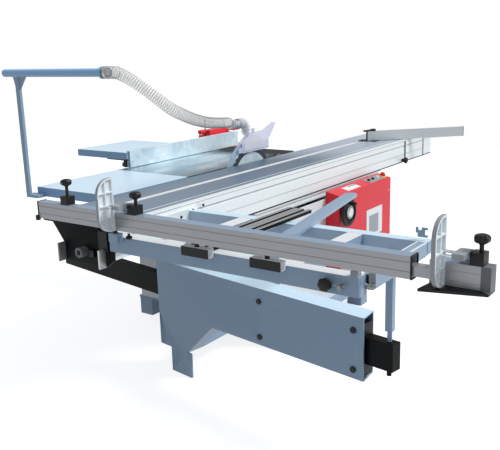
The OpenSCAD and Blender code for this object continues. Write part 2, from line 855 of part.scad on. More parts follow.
module stop_swivel(x) {
  x0 = x - swivel_out - swivel_w;
  difference() {
    union() {
      translate([x0, fence_mid, stop_pin_z]) bar_x(swivel_r, swivel_w);
      span(x0, x0 + swivel_w, fence_mid, fence_y1 + swivel_reach,
           stop_pin_z + swivel_rise, stop_pin_z + swivel_r);
    }
    translate([x0 - overrun, fence_mid, stop_pin_z]) bar_x(stop_pin_r + run_gap, swivel_w + 2 * overrun);
  }
  for (i = [0, 1])
    translate([x - swivel_out - overrun, fence_y1 + stop_rod_ins[i], stop_pin_z + stop_rod_rises[i]])
    bar_x(stop_rod_r, swivel_out + stop_pocket + 2 * overrun);
}
module flip_stop() color(pale) {
  stop_plate(stop_x);
  stop_swivel(stop_x);
}
module end_stop() color(pale) {
  stop_plate(end_stop_x);
  stop_swivel(end_stop_x);
}
module stop_block() color(dark) stop_clamp(stop_x);

// Short mitre fence, turned on a base that slides in the clamp slot
mitre_x = slot_x - mitre_out;
module mitre_base() color(dark) {
  z = table_z + seat_gap;
  span(mitre_x - mitre_base_w / 2, slot_x + mitre_base_w / 2, mitre_y - mitre_base_w / 2,
       mitre_y + mitre_base_w / 2, z, z + mitre_base_h);
  translate([mitre_x, mitre_y, z]) bar_z(mitre_pin_r, mitre_base_h + mitre_h / 2);
  span(slot_x - slot_w / 2 + slide_gap, slot_x + slot_w / 2 - slide_gap, mitre_y - mitre_base_w / 2,
       mitre_y + mitre_base_w / 2, table_z - slot_depth + slot_under_h + slide_gap, z);
}
module at_mitre() translate([mitre_x, mitre_y, table_z + seat_gap + mitre_base_h + seat_gap])
  rotate([0, 0, mitre_yaw]) children();
module mitre_fence() color(alu) at_mitre() difference() {
  translate([mitre_inner - mitre_len, -mitre_t / 2, 0]) cube([mitre_len, mitre_t, mitre_h]);
  translate([0, 0, -overrun]) bar_z(mitre_pin_r + run_gap, mitre_h + 2 * overrun);
}
module mitre_lever() color(dark) at_mitre() translate([0, 0, mitre_h + seat_gap]) {
  bar_z(knob_r * knob_top_share, knob_h / 2);
  translate([0, 0, -mitre_h / 3]) bar_z(mitre_pin_r, mitre_h / 3 + overrun);
  translate([0, 0, knob_h / 4]) rotate([0, 0, lever_yaw]) bar_x(knob_stem_r, lever_len);
}

// Swing arm
pad_zs = [beam_z0 - pad_h / 2 - seat_gap, beam_z0 + beam_h + pad_h / 2 + seat_gap];
module at_arm() translate([arm_x, arm_y, 0]) rotate([0, 0, -arm_angle]) children();
module arm_pedestal() color(paint) {
  at_arm() {
    translate([0, housing_w / 2, 0]) rotate([90, 0, 0]) linear_extrude(housing_w)
      polygon([[housing_in, pedestal_z0], [housing_in, arm_z0 - seat_gap],
               [housing_in - pedestal_top, arm_z0 - seat_gap], [housing_in - pedestal_foot, pedestal_z0]]);
    span(leg_in - leg_w, leg_in, housing_w / 2 - leg_t, housing_w / 2, 0, pedestal_z0);
    translate([0, 0, arm_z0 - seat_gap - overrun]) bar_z(pivot_r, pivot_h + seat_gap + overrun);
  }
  span(arm_x - strut_w / 2, arm_x + strut_w / 2, cab_rear, arm_y - housing_w / 2 + strut_lap,
       pedestal_z0, pedestal_z0 + strut_h);
}
module arm_housing() color(paint) at_arm() difference() {
  span(housing_in - housing_len, housing_in, -housing_w / 2, housing_w / 2, arm_z0, arm_z0 + housing_h);
  span(housing_in - housing_len - overrun, housing_in + overrun, housing_wall - housing_w / 2,
       housing_w / 2 - housing_wall, arm_z0 + 2 * housing_wall, arm_z0 + housing_h - housing_wall);
  translate([0, 0, arm_z0 - overrun]) bar_z(pivot_r + run_gap, 2 * housing_wall + 2 * overrun);
  for (x = pad_xs, z = pad_zs)
    translate([x, -housing_w / 2 - overrun, z]) bar_y(bolt_r + run_gap, housing_w + 2 * overrun);
  translate([housing_in - housing_len, 0, arm_z0 - overrun]) linear_extrude(housing_h + 2 * overrun)
    polygon([[-overrun, housing_w / 2], [-overrun, -housing_w / 2 - overrun],
             [end_cut, -housing_w / 2 - overrun]]);
}
module arm_guides() color(dark) at_arm() for (x = pad_xs, z = pad_zs) translate([x, 0, z]) {
  span(-pad_len / 2, pad_len / 2, -beam_w / 2, beam_w / 2, -pad_h / 2, pad_h / 2);
  translate([0, -housing_w / 2 - bolt_r, 0]) bar_y(bolt_r, housing_w + 2 * bolt_r);
  for (y = [-housing_w / 2 - bolt_r, housing_w / 2]) translate([0, y, 0]) bar_y(bolt_head_r, bolt_r);
}
module arm_beam() color(dark) at_arm() {
  x0 = -post_r - beam_nose;
  difference() {
    span(x0, x0 + beam_len, -beam_w / 2, beam_w / 2, beam_z0, beam_z0 + beam_h);
    span(x0 + beam_w, x0 + beam_len + overrun, tube_t - beam_w / 2, beam_w / 2 - tube_t,
         beam_z0 + tube_t, beam_z0 + beam_h - tube_t);
  }
  translate([-post_r, 0, beam_z0 - knob_h]) bar_z(post_pin_r, knob_h);
}

// Saw unit, hung from the curved ways
module tilt_frame() color(dark) {
  x1 = frame_x0 + frame_t;
  bar_top = table_z - trunnion_r0 * cos(trunnion_bar_a);
  difference() {
    union() {
      span(frame_x0, x1, frame_y0, frame_y1, frame_z0, bar_top);
      span(frame_x0, x1, trunnion_ys[0], trunnion_ys[1], bar_top - frame_bar_h, bar_top);
      span(frame_x0, x1, scorer_y - scorer_bearing, scorer_y + scorer_bearing, bar_top,
           scorer_z + scorer_bearing);
    }
    span(frame_x0 - overrun, x1 + overrun, -window_w / 2, window_w / 2,
         arbor_z - window_h, bar_top + overrun);
    translate([frame_x0 - overrun, scorer_y, scorer_z])
      bar_x(scorer_arbor_r + run_gap, frame_t + 2 * overrun);
  }
  for (y = trunnion_ys) ring_sector(y, trunnion_r0, trunnion_r1, trunnion_a0, trunnion_a1);
  for (s = [-1, 1]) {
    y = s * way_w / 2;
    span(block_x0, frame_x0, y - rib_t / 2, y + rib_t / 2, frame_z0, bar_top);
  }
}
module arbor_block() color(paint) {
  plate_z0 = arbor_z - motor_drop - motor_r;
  difference() {
    union() {
      span(block_x0, block_x1, -block_w / 2, block_w / 2, arbor_z - block_down, arbor_z + block_up);
      span(block_x1, plate_x0, slide_gap - window_w / 2, window_w / 2 - slide_gap,
           arbor_z - block_down, arbor_z + block_up);
      span(plate_x0, plate_x0 + plate_t, -way_w / 2, way_w / 2, plate_z0, arbor_z + block_up);
      knife_seat_arm();
    }
    translate([block_x0 - overrun, 0, arbor_z])
      bar_x(arbor_d / 2 + run_gap, plate_x0 + plate_t - block_x0 + 2 * overrun);
  }
  for (y = [-spacer_y, spacer_y]) translate([plate_x0 + plate_t, y, arbor_z - motor_drop / 2])
    bar_x(bolt_r, motor_plate_x0 - plate_x0 - plate_t);
  difference() {
    span(motor_plate_x0, motor_plate_x0 + plate_t, -way_w / 2, way_w / 2, plate_z0,
         arbor_z - motor_drop / 2 + bar_w);
    translate([motor_plate_x0 - overrun, 0, arbor_z - motor_drop])
      bar_x(arbor_d / 2 + slide_gap, plate_t + 2 * overrun);
  }
}
// Arm from the arbor block to the foot of the riving knife, beside the blade
module knife_seat_arm() {
  r = blade_d / 2 + knife_gap;
  y = r * cos(knife_low_a);
  z = arbor_z + r * sin(knife_low_a);
  x = blade_t / 2 + knife_arm_gap;
  span(x, block_x0 - slide_gap, block_w / 2 - knife_arm_t, y + knife_seat, z, z + knife_seat);
  span(x, block_x0 + overrun, block_w / 2 - knife_arm_t, block_w / 2, z, z + knife_seat);
  span(knife_t / 2, x, y + knife_seat - knife_arm_t, y + knife_seat, z, z + knife_seat);
}
module motor() color(paint) translate([motor_plate_x0 + plate_t, 0, arbor_z - motor_drop]) {
  difference() {
    bar_x(motor_r, motor_len);
    translate([-overrun, 0, 0]) bar_x(arbor_d / 2 + run_gap, motor_len / 3);
    for (i = [1 : motor_fins]) rotate([360 * i / motor_fins, 0, 0])
      span(motor_len / 6, motor_len * 5 / 6, motor_r - groove_d, motor_r + overrun,
           -groove_w / 2, groove_w / 2);
  }
}
module pulley() rotate([0, 90, 0]) rotate_extrude()
  polygon([[0, 0], [pulley_r, 0], [pulley_r - belt_t, belt_t], [pulley_r - belt_t, pulley_w - belt_t],
           [pulley_r, pulley_w], [0, pulley_w]]);
module motor_pulley() color(dark) translate([pulley_x0, 0, arbor_z - motor_drop]) {
  pulley();
  bar_x(arbor_d / 2, motor_plate_x0 + plate_t + motor_len / 4 - pulley_x0);
}
module belt_outline(r) {
  circle(r);
  translate([motor_drop, 0]) circle(r);
  translate([0, -r]) square([motor_drop, 2 * r]);
}
module drive_belt() color(dark) translate([pulley_x0 + belt_in, 0, arbor_z]) rotate([0, 90, 0])
  linear_extrude(pulley_w - 2 * belt_in) difference() {
    belt_outline(pulley_r);
    belt_outline(pulley_r - belt_t + seat_gap);
  }
module main_arbor() color(alu) translate([0, 0, arbor_z]) {
  nut_x = -nut_t - flange_t - blade_t / 2;
  translate([nut_x, 0, 0]) bar_x(arbor_d / 2, pulley_x0 - nut_x);
  translate([blade_t / 2, 0, 0]) bar_x(flange_r, flange_t);
  translate([-flange_t - blade_t / 2, 0, 0]) bar_x(flange_r, flange_t);
  translate([nut_x, 0, 0]) rotate([0, 90, 0]) cylinder(r = nut_r, h = nut_t, $fn = 6);
  translate([pulley_x0, 0, 0]) pulley();
}

// Toothed disc in the plane of the blade
tooth_share = 0.06;
module toothed_disc(d, t, bore, teeth) rotate([0, 90, 0]) translate([0, 0, -t / 2]) linear_extrude(t)
  difference() {
    circle(d / 2, $fn = 96);
    circle(bore);
    for (i = [1 : teeth]) rotate([0, 0, i * 360 / teeth]) translate([d / 2, 0])
      polygon([[overrun, 0], [-d * tooth_share / 2, 0], [overrun, d * tooth_share]]);
  }
module saw_blade() color(alu) translate([0, 0, arbor_z])
  toothed_disc(blade_d, blade_t, arbor_d / 2 + run_gap, 36);
module scorer() color(alu) translate([0, scorer_y, scorer_z]) {
  toothed_disc(scorer_d, scorer_t, 0, 16);
  translate([-scorer_t / 2 - scorer_flange_t, 0, 0]) bar_x(scorer_flange_r, scorer_flange_t);
  translate([scorer_t / 2, 0, 0]) bar_x(scorer_flange_r, scorer_flange_t);
  bar_x(scorer_arbor_r, plate_x0 + pulley_w);
}

// Riving knife: a curved blade behind the saw blade, with a foot on the arbor block
module riving_knife() color(alu) {
  r0 = blade_d / 2 + knife_gap;
  reach = 2 * r0;
  knife_as = [knife_low_a, 0, knife_mid_a, knife_top_a];
  translate([-knife_t / 2, 0, arbor_z]) rotate([90, 0, 90]) linear_extrude(knife_t) difference() {
    intersection() {
      circle(r0 + knife_w, $fn = 96);
      polygon(concat([[0, 0]], [for (a = knife_as) reach * [cos(a), sin(a)]]));
    }
    circle(r0, $fn = 96);
    translate([guard_pin_y, guard_pin_z - arbor_z]) circle(guard_pin_r + run_gap);
  }
}

// Blade guard: a narrow hood with a raised fin, ears on the riving knife and an elbow for the hose
guard_shares = [[0, 0.5], [0.45, 1.42], [-0.16, 1.06], [-0.8, 1], [-1, 0.6]];
module guard_side() {
  polygon([[guard_rear, guard_z0], [guard_front, guard_z0],
           [guard_front, guard_z0 + guard_h * guard_shares[0][1]],
           [guard_front * (1 + guard_shares[1][0]), guard_z0 + guard_h * guard_shares[1][1]],
           [guard_front * (1 + guard_shares[2][0]), guard_z0 + guard_h * guard_shares[2][1]],
           [guard_rear * (1 + guard_shares[3][0]), guard_z0 + guard_h * guard_shares[3][1]],
           [guard_rear, guard_z0 + guard_h * guard_shares[4][1]]]);
  translate([guard_rear, guard_pin_z - ear_r]) square([guard_pin_y - guard_rear, 2 * ear_r]);
  translate([guard_pin_y, guard_pin_z]) circle(ear_r);
}
module blade_guard() color(pale) {
  hood_top = guard_z0 + guard_h - guard_wall;
  bend_y = elbow_y + elbow_r;
  difference() {
    union() {
      difference() {
        translate([-guard_w / 2, 0, 0]) rotate([90, 0, 90]) linear_extrude(guard_w) guard_side();
        span(guard_wall - guard_w / 2, guard_w / 2 - guard_wall, guard_front + guard_wall,
             guard_pin_y + ear_r + overrun, guard_z0 - overrun, guard_z0 + guard_h * guard_shares[0][1]);
      }
      translate([0, elbow_y, hood_top]) bar_z(spigot_r, spigot_z - elbow_r - hood_top);
      translate([0, stub_y, hood_top]) bar_z(stub_r, stub_h);
      translate([0, bend_y, spigot_z - elbow_r]) rotate([90, 0, -90])
        rotate_extrude(angle = 90) translate([elbow_r, 0]) circle(spigot_r);
      translate([0, bend_y, spigot_z]) bar_y(spigot_r, spigot_end - bend_y + spigot_in);
      translate([0, spigot_end - collar_w - seat_gap, spigot_z]) bar_y(hose_r, collar_w);
    }
    translate([0, bend_y, spigot_z]) bar_y(spigot_r - spigot_wall, spigot_end - bend_y + spigot_in + overrun);
  }
  translate([-guard_w / 2, guard_pin_y, guard_pin_z]) bar_x(guard_pin_r, guard_w);
}

// Rip fence: a tall profile on a carrier that slides along a round rod in front of the tables
module rip_rail() color(alu) {
  translate([table_gap, rod_y, rod_z]) bar_x(rod_r, rip_x1 - table_gap);
  for (s = [rod_stud_share, 1 - rod_stud_share])
    translate([table_gap + table_w * s, rod_y, rod_z]) bar_y(rod_r / 2, table_front - rod_y);
}
carrier_x0 = rip_x + rip_t + slide_gap;
carrier_x1 = carrier_x0 + carrier_w;
carrier_z1 = bridge_z0 + carrier_h;
key_z = bridge_z0 + carrier_h / 2;
module rip_carrier() color(red) {
  difference() {
    union() {
      span(carrier_x0, carrier_x1, rod_y - carrier_half, rod_y + carrier_half,
           rod_z - carrier_half, carrier_z1);
      span(carrier_x0, carrier_x1, rod_y, carrier_rear, bridge_z0, carrier_z1);
    }
    translate([carrier_x0 - overrun, rod_y, rod_z]) bar_x(rod_r + run_gap, carrier_w + 2 * overrun);
    span(carrier_x0 - overrun, carrier_x1 + overrun, rod_y, rod_y + carrier_half + overrun,
         rod_z - carrier_half - overrun, rod_z + carrier_slot);
    translate([carrier_x0 + carrier_w / 2, rod_y, carrier_z1 - lever_pin - overrun])
      bar_z(lever_pin_r + run_gap, lever_pin + 2 * overrun);
  }
  span(rip_x + rip_t - key_in, carrier_x0 + overrun, table_front, carrier_rear,
       key_z - key_h / 2, key_z + key_h / 2);
  x = carrier_x0 + carrier_w / 2;
  span(x - tower_w / 2, x + tower_w / 2, rod_y + carrier_half, carrier_rear,
       carrier_z1, carrier_z1 + tower_h);
  translate([x, carrier_rear, carrier_z1 + tower_h]) {
    translate([0, -overrun, -rear_knob_r / 2]) bar_y(pointer_r + overrun, rear_knob_out + 2 * overrun);
    translate([0, rear_knob_out, -rear_knob_r / 2]) bar_y(rear_knob_r, rear_knob_len);
    translate([0, pointer_out, -tower_h]) bar_z(pointer_r, pointer_h);
  }
}
module rip_lever() color(red) translate([carrier_x0 + carrier_w / 2, rod_y, carrier_z1 + seat_gap]) {
  bar_z(lever_hub_r, lever_hub_h);
  translate([0, 0, -lever_pin]) bar_z(lever_pin_r, lever_pin + overrun);
  translate([0, 0, lever_hub_h / 2]) rotate([0, 0, rip_lever_yaw]) {
    bar_x(lever_r, rip_lever_len);
    translate([rip_lever_len - rip_grip_len, 0, 0]) bar_x(rip_grip_r, rip_grip_len);
  }
}
module rip_profile() color(alu) difference() {
  tube_y(rip_x, rip_x + rip_t, rip_fence_rear - rip_len, rip_fence_rear,
         bridge_z0, bridge_z0 + rip_h, tube_t);
  span(rip_x + rip_t - tube_t - overrun, rip_x + rip_t + overrun, rip_fence_rear - rip_len - overrun,
       rip_fence_rear + overrun, key_z - key_h / 2 - slide_gap, key_z + key_h / 2 + slide_gap);
}

// Dust boom on a flat mast at the corner of the outfeed table
module dust_boom() color(paint) {
  boom_len = boom_x1 - boom_x0;
  under = boom_z - boom_d / 2 + boom_wall / 2;
  mast_x1 = mast_x + mast_w / 2;
  difference() {
    union() {
      translate([boom_x0, boom_y, boom_z]) bar_x(boom_d / 2, boom_len);
      translate([hose_route[0][0], boom_y, boom_z]) bar_x(hose_r, collar_w);
    }
    translate([boom_x0 - overrun, boom_y, boom_z]) bar_x(boom_d / 2 - boom_wall, boom_len + 2 * overrun);
  }
  span(mast_x - mast_w / 2, mast_x1, boom_y - mast_t / 2, boom_y + mast_t / 2, table_under, under);
  span(table_x1 - mast_foot, mast_x1, outfeed_rear, boom_y + mast_t / 2, table_under, table_under + mast_t);
  translate([mast_x, boom_y + mast_t / 4, under]) rotate([90, 0, 0]) linear_extrude(mast_t / 2)
    polygon([[-gusset, 0], [gusset / 2, 0], [mast_w / 2, -gusset], [-mast_w / 2, -gusset]]);
}

// Ribbed hose from the boom to the guard, swept along the route
route_n = len(hose_route) - 1;
function route_len(i) = i == 0 ? 0 : route_len(i - 1) + norm(hose_route[i] - hose_route[i - 1]);
route_marks = [for (i = [0 : route_n]) [route_len(i), i]];
function route_u(share) = lookup(share * route_len(route_n), route_marks);
function route_at(u) = let (i = min(floor(u), route_n - 1), t = u - i, p1 = hose_route[i],
  p2 = hose_route[i + 1], p0 = hose_route[max(i - 1, 0)], p3 = hose_route[min(i + 2, route_n)])
  p1 + ((p2 - p0) * t + (2 * p0 - 5 * p1 + 4 * p2 - p3) * t * t
        + (3 * p1 - 3 * p2 + p3 - p0) * t * t * t) / 2;
function unit(v) = v / norm(v);
function route_dir(u) =
  unit(route_at(min(u + hose_step_share, route_n)) - route_at(max(u - hose_step_share, 0)));
function ring(u, r) = let (d = route_dir(u), side = unit(cross(d, [0, 0, 1])), up = cross(side, d))
  [for (k = [1 : hose_sides]) let (a = 360 * k / hose_sides) route_at(u) + r * (cos(a) * side + sin(a) * up)];
module dust_hose() color(pale) {
  rings = 2 * hose_ribs + 1;
  outer = [for (j = [0 : rings - 1]) ring(route_u(j / (rings - 1)), j % 2 == 1 ? hose_r : hose_root_r)];
  inner = [for (j = [0 : route_n * 2]) ring(j / 2, hose_bore_r)];
  n = hose_sides;
  base = rings * n;
  last = route_n * 2;
  points = concat([for (r = outer, p = r) p], [for (r = inner, p = r) p]);
  faces = concat(
    [for (j = [0 : rings - 2], k = [0 : n - 1], h = [0, 1]) let (a = j * n + k, b = j * n + (k + 1) % n)
      h == 0 ? [a, b, a + n] : [b, b + n, a + n]],
    [for (j = [0 : last - 1], k = [0 : n - 1], h = [0, 1])
      let (a = base + j * n + k, b = base + j * n + (k + 1) % n) h == 0 ? [a, a + n, b] : [b, a + n, b + n]],
    [for (k = [0 : n - 1], h = [0, 1]) let (a = k, b = (k + 1) % n)
      h == 0 ? [a, base + a, b] : [b, base + a, base + b]],
    [for (k = [0 : n - 1], h = [0, 1]) let (o = (rings - 1) * n, i = base + last * n, a = k, b = (k + 1) % n)
      h == 0 ? [o + a, o + b, i + a] : [o + b, i + b, i + a]]);
  polyhedron(points, faces);
}

cabinet_front();
cabinet_rear();
cabinet_left();
cabinet_door();
base_frame();
main_table();
outfeed_table();
rip_table();
table_brackets();
trunnion_guides();
guide_rail();
control_box();
arm_pedestal();
rip_rail();
dust_boom();
dust_hose();
dust_port();
carriage_beam();
carriage_rear_cap();
carriage_front_block();
end_bracket();
end_buffer();
outrigger_mount();
near_beam();
far_beam();
cross_members();
outrigger_post();
fence_rests();
star_knob();
support_bar();
fence_profile();
fence_knob();
fence_extension();
extension_foot();
stop_block();
flip_stop();
end_stop();
mitre_base();
mitre_fence();
mitre_lever();
lock_knob();
arm_housing();
arm_guides();
arm_beam();
tilt_frame();
arbor_block();
motor();
drive_belt();
motor_pulley();
main_arbor();
saw_blade();
scorer();
riving_knife();
blade_guard();
rip_carrier();
rip_lever();
rip_profile();
tilt_wheel();
lift_wheel();
stop_button();
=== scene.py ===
import json
import math
import bmesh
import bpy
from mathutils import Matrix, Vector


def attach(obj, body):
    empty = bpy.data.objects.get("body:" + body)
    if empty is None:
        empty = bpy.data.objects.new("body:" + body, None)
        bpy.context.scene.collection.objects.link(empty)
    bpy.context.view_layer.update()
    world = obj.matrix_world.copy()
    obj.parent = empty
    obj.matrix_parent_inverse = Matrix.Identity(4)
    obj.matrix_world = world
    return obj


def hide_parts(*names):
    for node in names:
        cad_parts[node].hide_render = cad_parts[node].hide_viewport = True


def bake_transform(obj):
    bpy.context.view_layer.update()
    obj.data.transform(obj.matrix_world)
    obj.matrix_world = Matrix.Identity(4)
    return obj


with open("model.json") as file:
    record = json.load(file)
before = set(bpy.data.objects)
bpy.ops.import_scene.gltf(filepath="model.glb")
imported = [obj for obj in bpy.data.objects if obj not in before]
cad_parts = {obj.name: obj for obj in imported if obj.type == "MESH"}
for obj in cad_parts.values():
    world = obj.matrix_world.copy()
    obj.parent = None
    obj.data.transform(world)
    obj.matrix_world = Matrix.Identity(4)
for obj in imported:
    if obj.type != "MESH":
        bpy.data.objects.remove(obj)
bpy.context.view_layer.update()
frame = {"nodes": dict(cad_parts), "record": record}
nodes = frame["nodes"]
print("frame loaded:", len(nodes), "nodes")

# camera at the photograph's place
cameraView = {
    "place": (-2.35894, 3.31674, 1.49971),  # metres
    "yaw": 0.948809,  # radians, from +X towards -Y
    "pitch": 0.240554,  # downwards
    "roll": -0.0299627,
    "lens": 52.397,  # mm
    "sensor": 36,  # mm
    "farClip": 60,  # metres
}


def makeCamera(view):
    cosPitch, sinPitch = math.cos(view["pitch"]), math.sin(view["pitch"])
    cosYaw, sinYaw = math.cos(view["yaw"]), math.sin(view["yaw"])
    look = Vector((cosYaw * cosPitch, -sinYaw * cosPitch, -sinPitch))
    flatRight = Vector((-sinYaw, -cosYaw, 0))
    flatUp = flatRight.cross(look)
    cosRoll, sinRoll = math.cos(view["roll"]), math.sin(view["roll"])
    right = cosRoll * flatRight + sinRoll * flatUp
    up = cosRoll * flatUp - sinRoll * flatRight
    data = bpy.data.cameras.new("photoCamera")
    data.sensor_width = view["sensor"]
    data.lens = view["lens"]
    data.clip_end = view["farClip"]
    camera = bpy.data.objects.new("photoCamera", data)
    turn = Matrix((right, up, -look)).transposed().to_4x4()
    camera.matrix_world = Matrix.Translation(view["place"]) @ turn
    bpy.context.collection.objects.link(camera)
    bpy.context.scene.camera = camera


makeCamera(cameraView)
print("camera placed")


# colours are written as they look, in sRGB
def tone(code):
    values = [int(code[i:i + 2], 16) / 255 for i in (0, 2, 4)]
    linear = [v / 12.92 if v <= 0.04045 else ((v + 0.055) / 1.055) ** 2.4 for v in values]
    return (*linear, 1.0)


# an output socket that sums and products can be written with
class Wire:
    def __init__(self, owner, socket):
        self.owner = owner
        self.socket = socket

    def calc(self, operation, first, second):
        return self.owner.add("ShaderNodeMath", {"operation": operation}, {0: first, 1: second})

    def __add__(self, other):
        return self.calc("ADD", self, other)

    def __sub__(self, other):
        return self.calc("SUBTRACT", self, other)

    def __mul__(self, other):
        return self.calc("MULTIPLY", self, other)


class Graph:
    def __init__(self, tree):
        self.tree = tree
        self.tree.nodes.clear()

    def add(self, kind, settings=None, sockets=None, out=0):
        made = self.tree.nodes.new(kind)
        for key, value in (settings or {}).items():
            if key == "stops":
                ramp = made.color_ramp.elements
                while len(ramp) < len(value):
                    ramp.new(0.5)
                for stop, (place, colour) in zip(ramp, value):
                    stop.position = place
                    stop.color = colour
            else:
                setattr(made, key, value)
        for key, value in (sockets or {}).items():
            if isinstance(value, Wire):
                self.tree.links.new(value.socket, made.inputs[key])
            else:
                made.inputs[key].default_value = value
        return Wire(self, made.outputs[out]) if made.outputs else None


class Shade(Graph):
    roughDip = 0.1  # noise lifts the roughness from this far below its level

    def __init__(self, name):
        self.material = bpy.data.materials.new(name)
        self.material.use_nodes = True
        super().__init__(self.material.node_tree)

    def coords(self, scale=(1, 1, 1)):
        spot = self.add("ShaderNodeTexCoord", out="Object")
        return self.add("ShaderNodeMapping", None, {"Vector": spot, "Scale": scale})

    def along(self, axis):
        return self.add("ShaderNodeSeparateXYZ", None, {"Vector": self.coords()}, axis)

    def noise(self, scale, detail, rough=0.5, stretch=(1, 1, 1)):
        sockets = {"Vector": self.coords(stretch), "Scale": scale, "Detail": detail, "Roughness": rough}
        return self.add("ShaderNodeTexNoise", None, sockets)

    def cells(self, scale):
        sockets = {"Vector": self.coords(), "Scale": scale}
        return self.add("ShaderNodeTexVoronoi", None, sockets, "Color")

    def spread(self, value, low, high):
        sockets = {"Value": value, "From Min": low, "From Max": high}
        return self.add("ShaderNodeMapRange", None, sockets)

    def mix(self, factor, first, second):
        return self.add("ShaderNodeMixRGB", None, {"Fac": factor, "Color1": first, "Color2": second})

    def ramp(self, place, tones):
        stops = [(at, tone(code)) for at, code in tones]
        return self.add("ShaderNodeValToRGB", {"stops": stops}, {"Fac": place})

    def bump(self, height, distance):
        return self.add("ShaderNodeBump", None, {"Height": height, "Distance": distance, "Strength": 1.0})

    # pairs of a noise and its weight, about one level of roughness
    def worn(self, rough, *marks):
        lifts = [wire * weight for wire, weight in marks]
        return sum(lifts[1:], lifts[0]) + (rough - self.roughDip)

    def close(self, **sockets):
        names = {key.replace("_", " "): value for key, value in sockets.items()}
        shader = self.add("ShaderNodeBsdfPrincipled", None, names)
        self.add("ShaderNodeOutputMaterial", None, {"Surface": shader})
        return self.material


# finishes; lengths in metres
def paintFinish(name, base, light, rough=0.42, peel=0.00004, shine=0.5, fleck=0.1):
    shade = Shade(name)
    cloud = shade.noise(scale=2.2, detail=4)
    grain = shade.noise(scale=620, detail=2)
    fine = shade.noise(scale=60, detail=3)
    colour = shade.mix(cloud, tone(base), tone(light))
    colour = shade.mix(fine * fleck, colour, tone(light))
    return shade.close(Base_Color=colour, Roughness=shade.worn(rough, (cloud, 0.12), (fine, 0.08)),
                       Specular_IOR_Level=shine, Normal=shade.bump(grain, peel))


# paint of a level pipe with a painted reflection, grey below and light blue above
def pipeReflectionFinish(name, tones, low, high, rough, speckle=0.08, peel=0.00002):
    shade = Shade(name)
    fine = shade.noise(scale=60, detail=3)
    colour = shade.ramp(shade.spread(shade.along("Z"), low, high), tones)
    return shade.close(Base_Color=colour, Roughness=fine * speckle + rough, Normal=shade.bump(fine, peel))


def metalFinish(name, base, light, rough, stretch, metallic=1.0, stainAndReflection=0.25, line=0.00002):
    shade = Shade(name)
    streak = shade.noise(scale=420, detail=3, rough=0.6, stretch=stretch)
    cloud = shade.noise(scale=3, detail=3)
    colour = shade.mix(streak, tone(base), tone(light))
    colour = shade.mix(cloud * stainAndReflection, colour, tone(base))
    return shade.close(Base_Color=colour, Metallic=metallic,
                       Roughness=shade.worn(rough, (streak, 0.14), (cloud, 0.1)),
                       Normal=shade.bump(streak, line))


# anodised top with a painted reflection, light, dark and mid along its length
def reflectionRampFinish(name, tones, low, high, rough, waver=0.3, brushing=0.2, line=0.00002):
    shade = Shade(name)
    streak = shade.noise(scale=420, detail=3, rough=0.6, stretch=(1, 0.02, 1))
    cloud = shade.noise(scale=1.6, detail=4, stretch=(2.5, 1, 1))
    place = shade.spread(shade.along("Y") + cloud * waver, low, high)
    colour = shade.mix(streak * brushing, shade.ramp(place, tones), tone(tones[0][1]))
    return shade.close(Base_Color=colour, Metallic=0.2,
                       Roughness=shade.worn(rough, (streak, 0.12), (cloud, 0.1)),
                       Specular_IOR_Level=0.15, Normal=shade.bump(streak, line))


# galvanised sheet with large pale crystals
def spangleFinish(name, dark, light, scale, rough, contrast=0.2, depth=0.0004):
    shade = Shade(name)
    flake = shade.add("ShaderNodeSeparateColor", None, {"Color": shade.cells(scale)})
    cloud = shade.noise(scale=4, detail=3)
    pale = shade.spread(flake * contrast + cloud, low=0.35, high=0.85)
    colour = shade.mix(pale, tone(dark), tone(light))
    return shade.close(Base_Color=colour, Metallic=0.3,
                       Roughness=shade.worn(rough, (flake, 0.16), (cloud, 0.1)),
                       Normal=shade.bump(cloud, depth))


# where the streaks turn light, and the metres over which the dark edge and the painted dark reflection end
polishBounds = {"streak": (0.36, 0.66), "edge": (0.08, 0.26), "stainAndReflection": (-0.16, 0.1)}
# how far the streaks move those ends, and how the part clear of the painted reflection changes
polishWeights = {"edge": 0.2, "stainAndReflection": 0.3, "metal": 0.6, "gloss": 0.5, "dullest": 0.4}


# polished iron: long soft streaks, dark along its inner edge, and a painted dark reflection towards the
# front
def polishedFinish(name, dark, light, edge, stainAndReflection, rough, depth=0.0012):
    shade = Shade(name)
    bounds, weights = polishBounds, polishWeights
    streak = shade.noise(scale=3.2, detail=3, rough=0.45, stretch=(2.6, 0.8, 1))
    line = shade.noise(scale=260, detail=2, stretch=(1, 0.02, 1))
    colour = shade.mix(shade.spread(streak, *bounds["streak"]), tone(dark), tone(light))
    inner = shade.spread(shade.along("X") + streak * weights["edge"], *bounds["edge"])
    colour = shade.mix(inner, tone(edge), colour)
    clearOfReflection = shade.spread(shade.along("Y") + streak * weights["stainAndReflection"], *bounds["stainAndReflection"])
    colour = shade.mix(clearOfReflection, tone(stainAndReflection), colour)
    dull = streak * 0.14 + line * 0.08 - clearOfReflection * weights["gloss"]
    return shade.close(Base_Color=colour, Metallic=clearOfReflection * weights["metal"],
                       Roughness=dull + (rough + weights["dullest"]),
                       Normal=shade.bump(streak * 0.7 + line * 0.01, depth))


def mouldedFinish(name, base, light, rough=0.5, shine=0.5, depth=0.00006):
    shade = Shade(name)
    grain = shade.noise(scale=900, detail=2)
    cloud = shade.noise(scale=14, detail=3)
    colour = shade.mix(cloud, tone(base), tone(light))
    return shade.close(Base_Color=colour, Roughness=shade.worn(rough, (grain, 0.16), (cloud, 0.06)),
                       Specular_IOR_Level=shine, Normal=shade.bump(grain, depth))


def guardFinish(name, base, light, clear, rough=0.12, depth=0.00003):
    shade = Shade(name)
    cloud = shade.noise(scale=9, detail=4)
    scratch = shade.noise(scale=300, detail=2, stretch=(1, 1, 0.06))
    colour = shade.mix(cloud, tone(base), tone(light))
    return shade.close(Base_Color=colour, Roughness=scratch * 0.2 + rough, Alpha=cloud * 0.12 + clear,
                       Normal=shade.bump(scratch, depth))


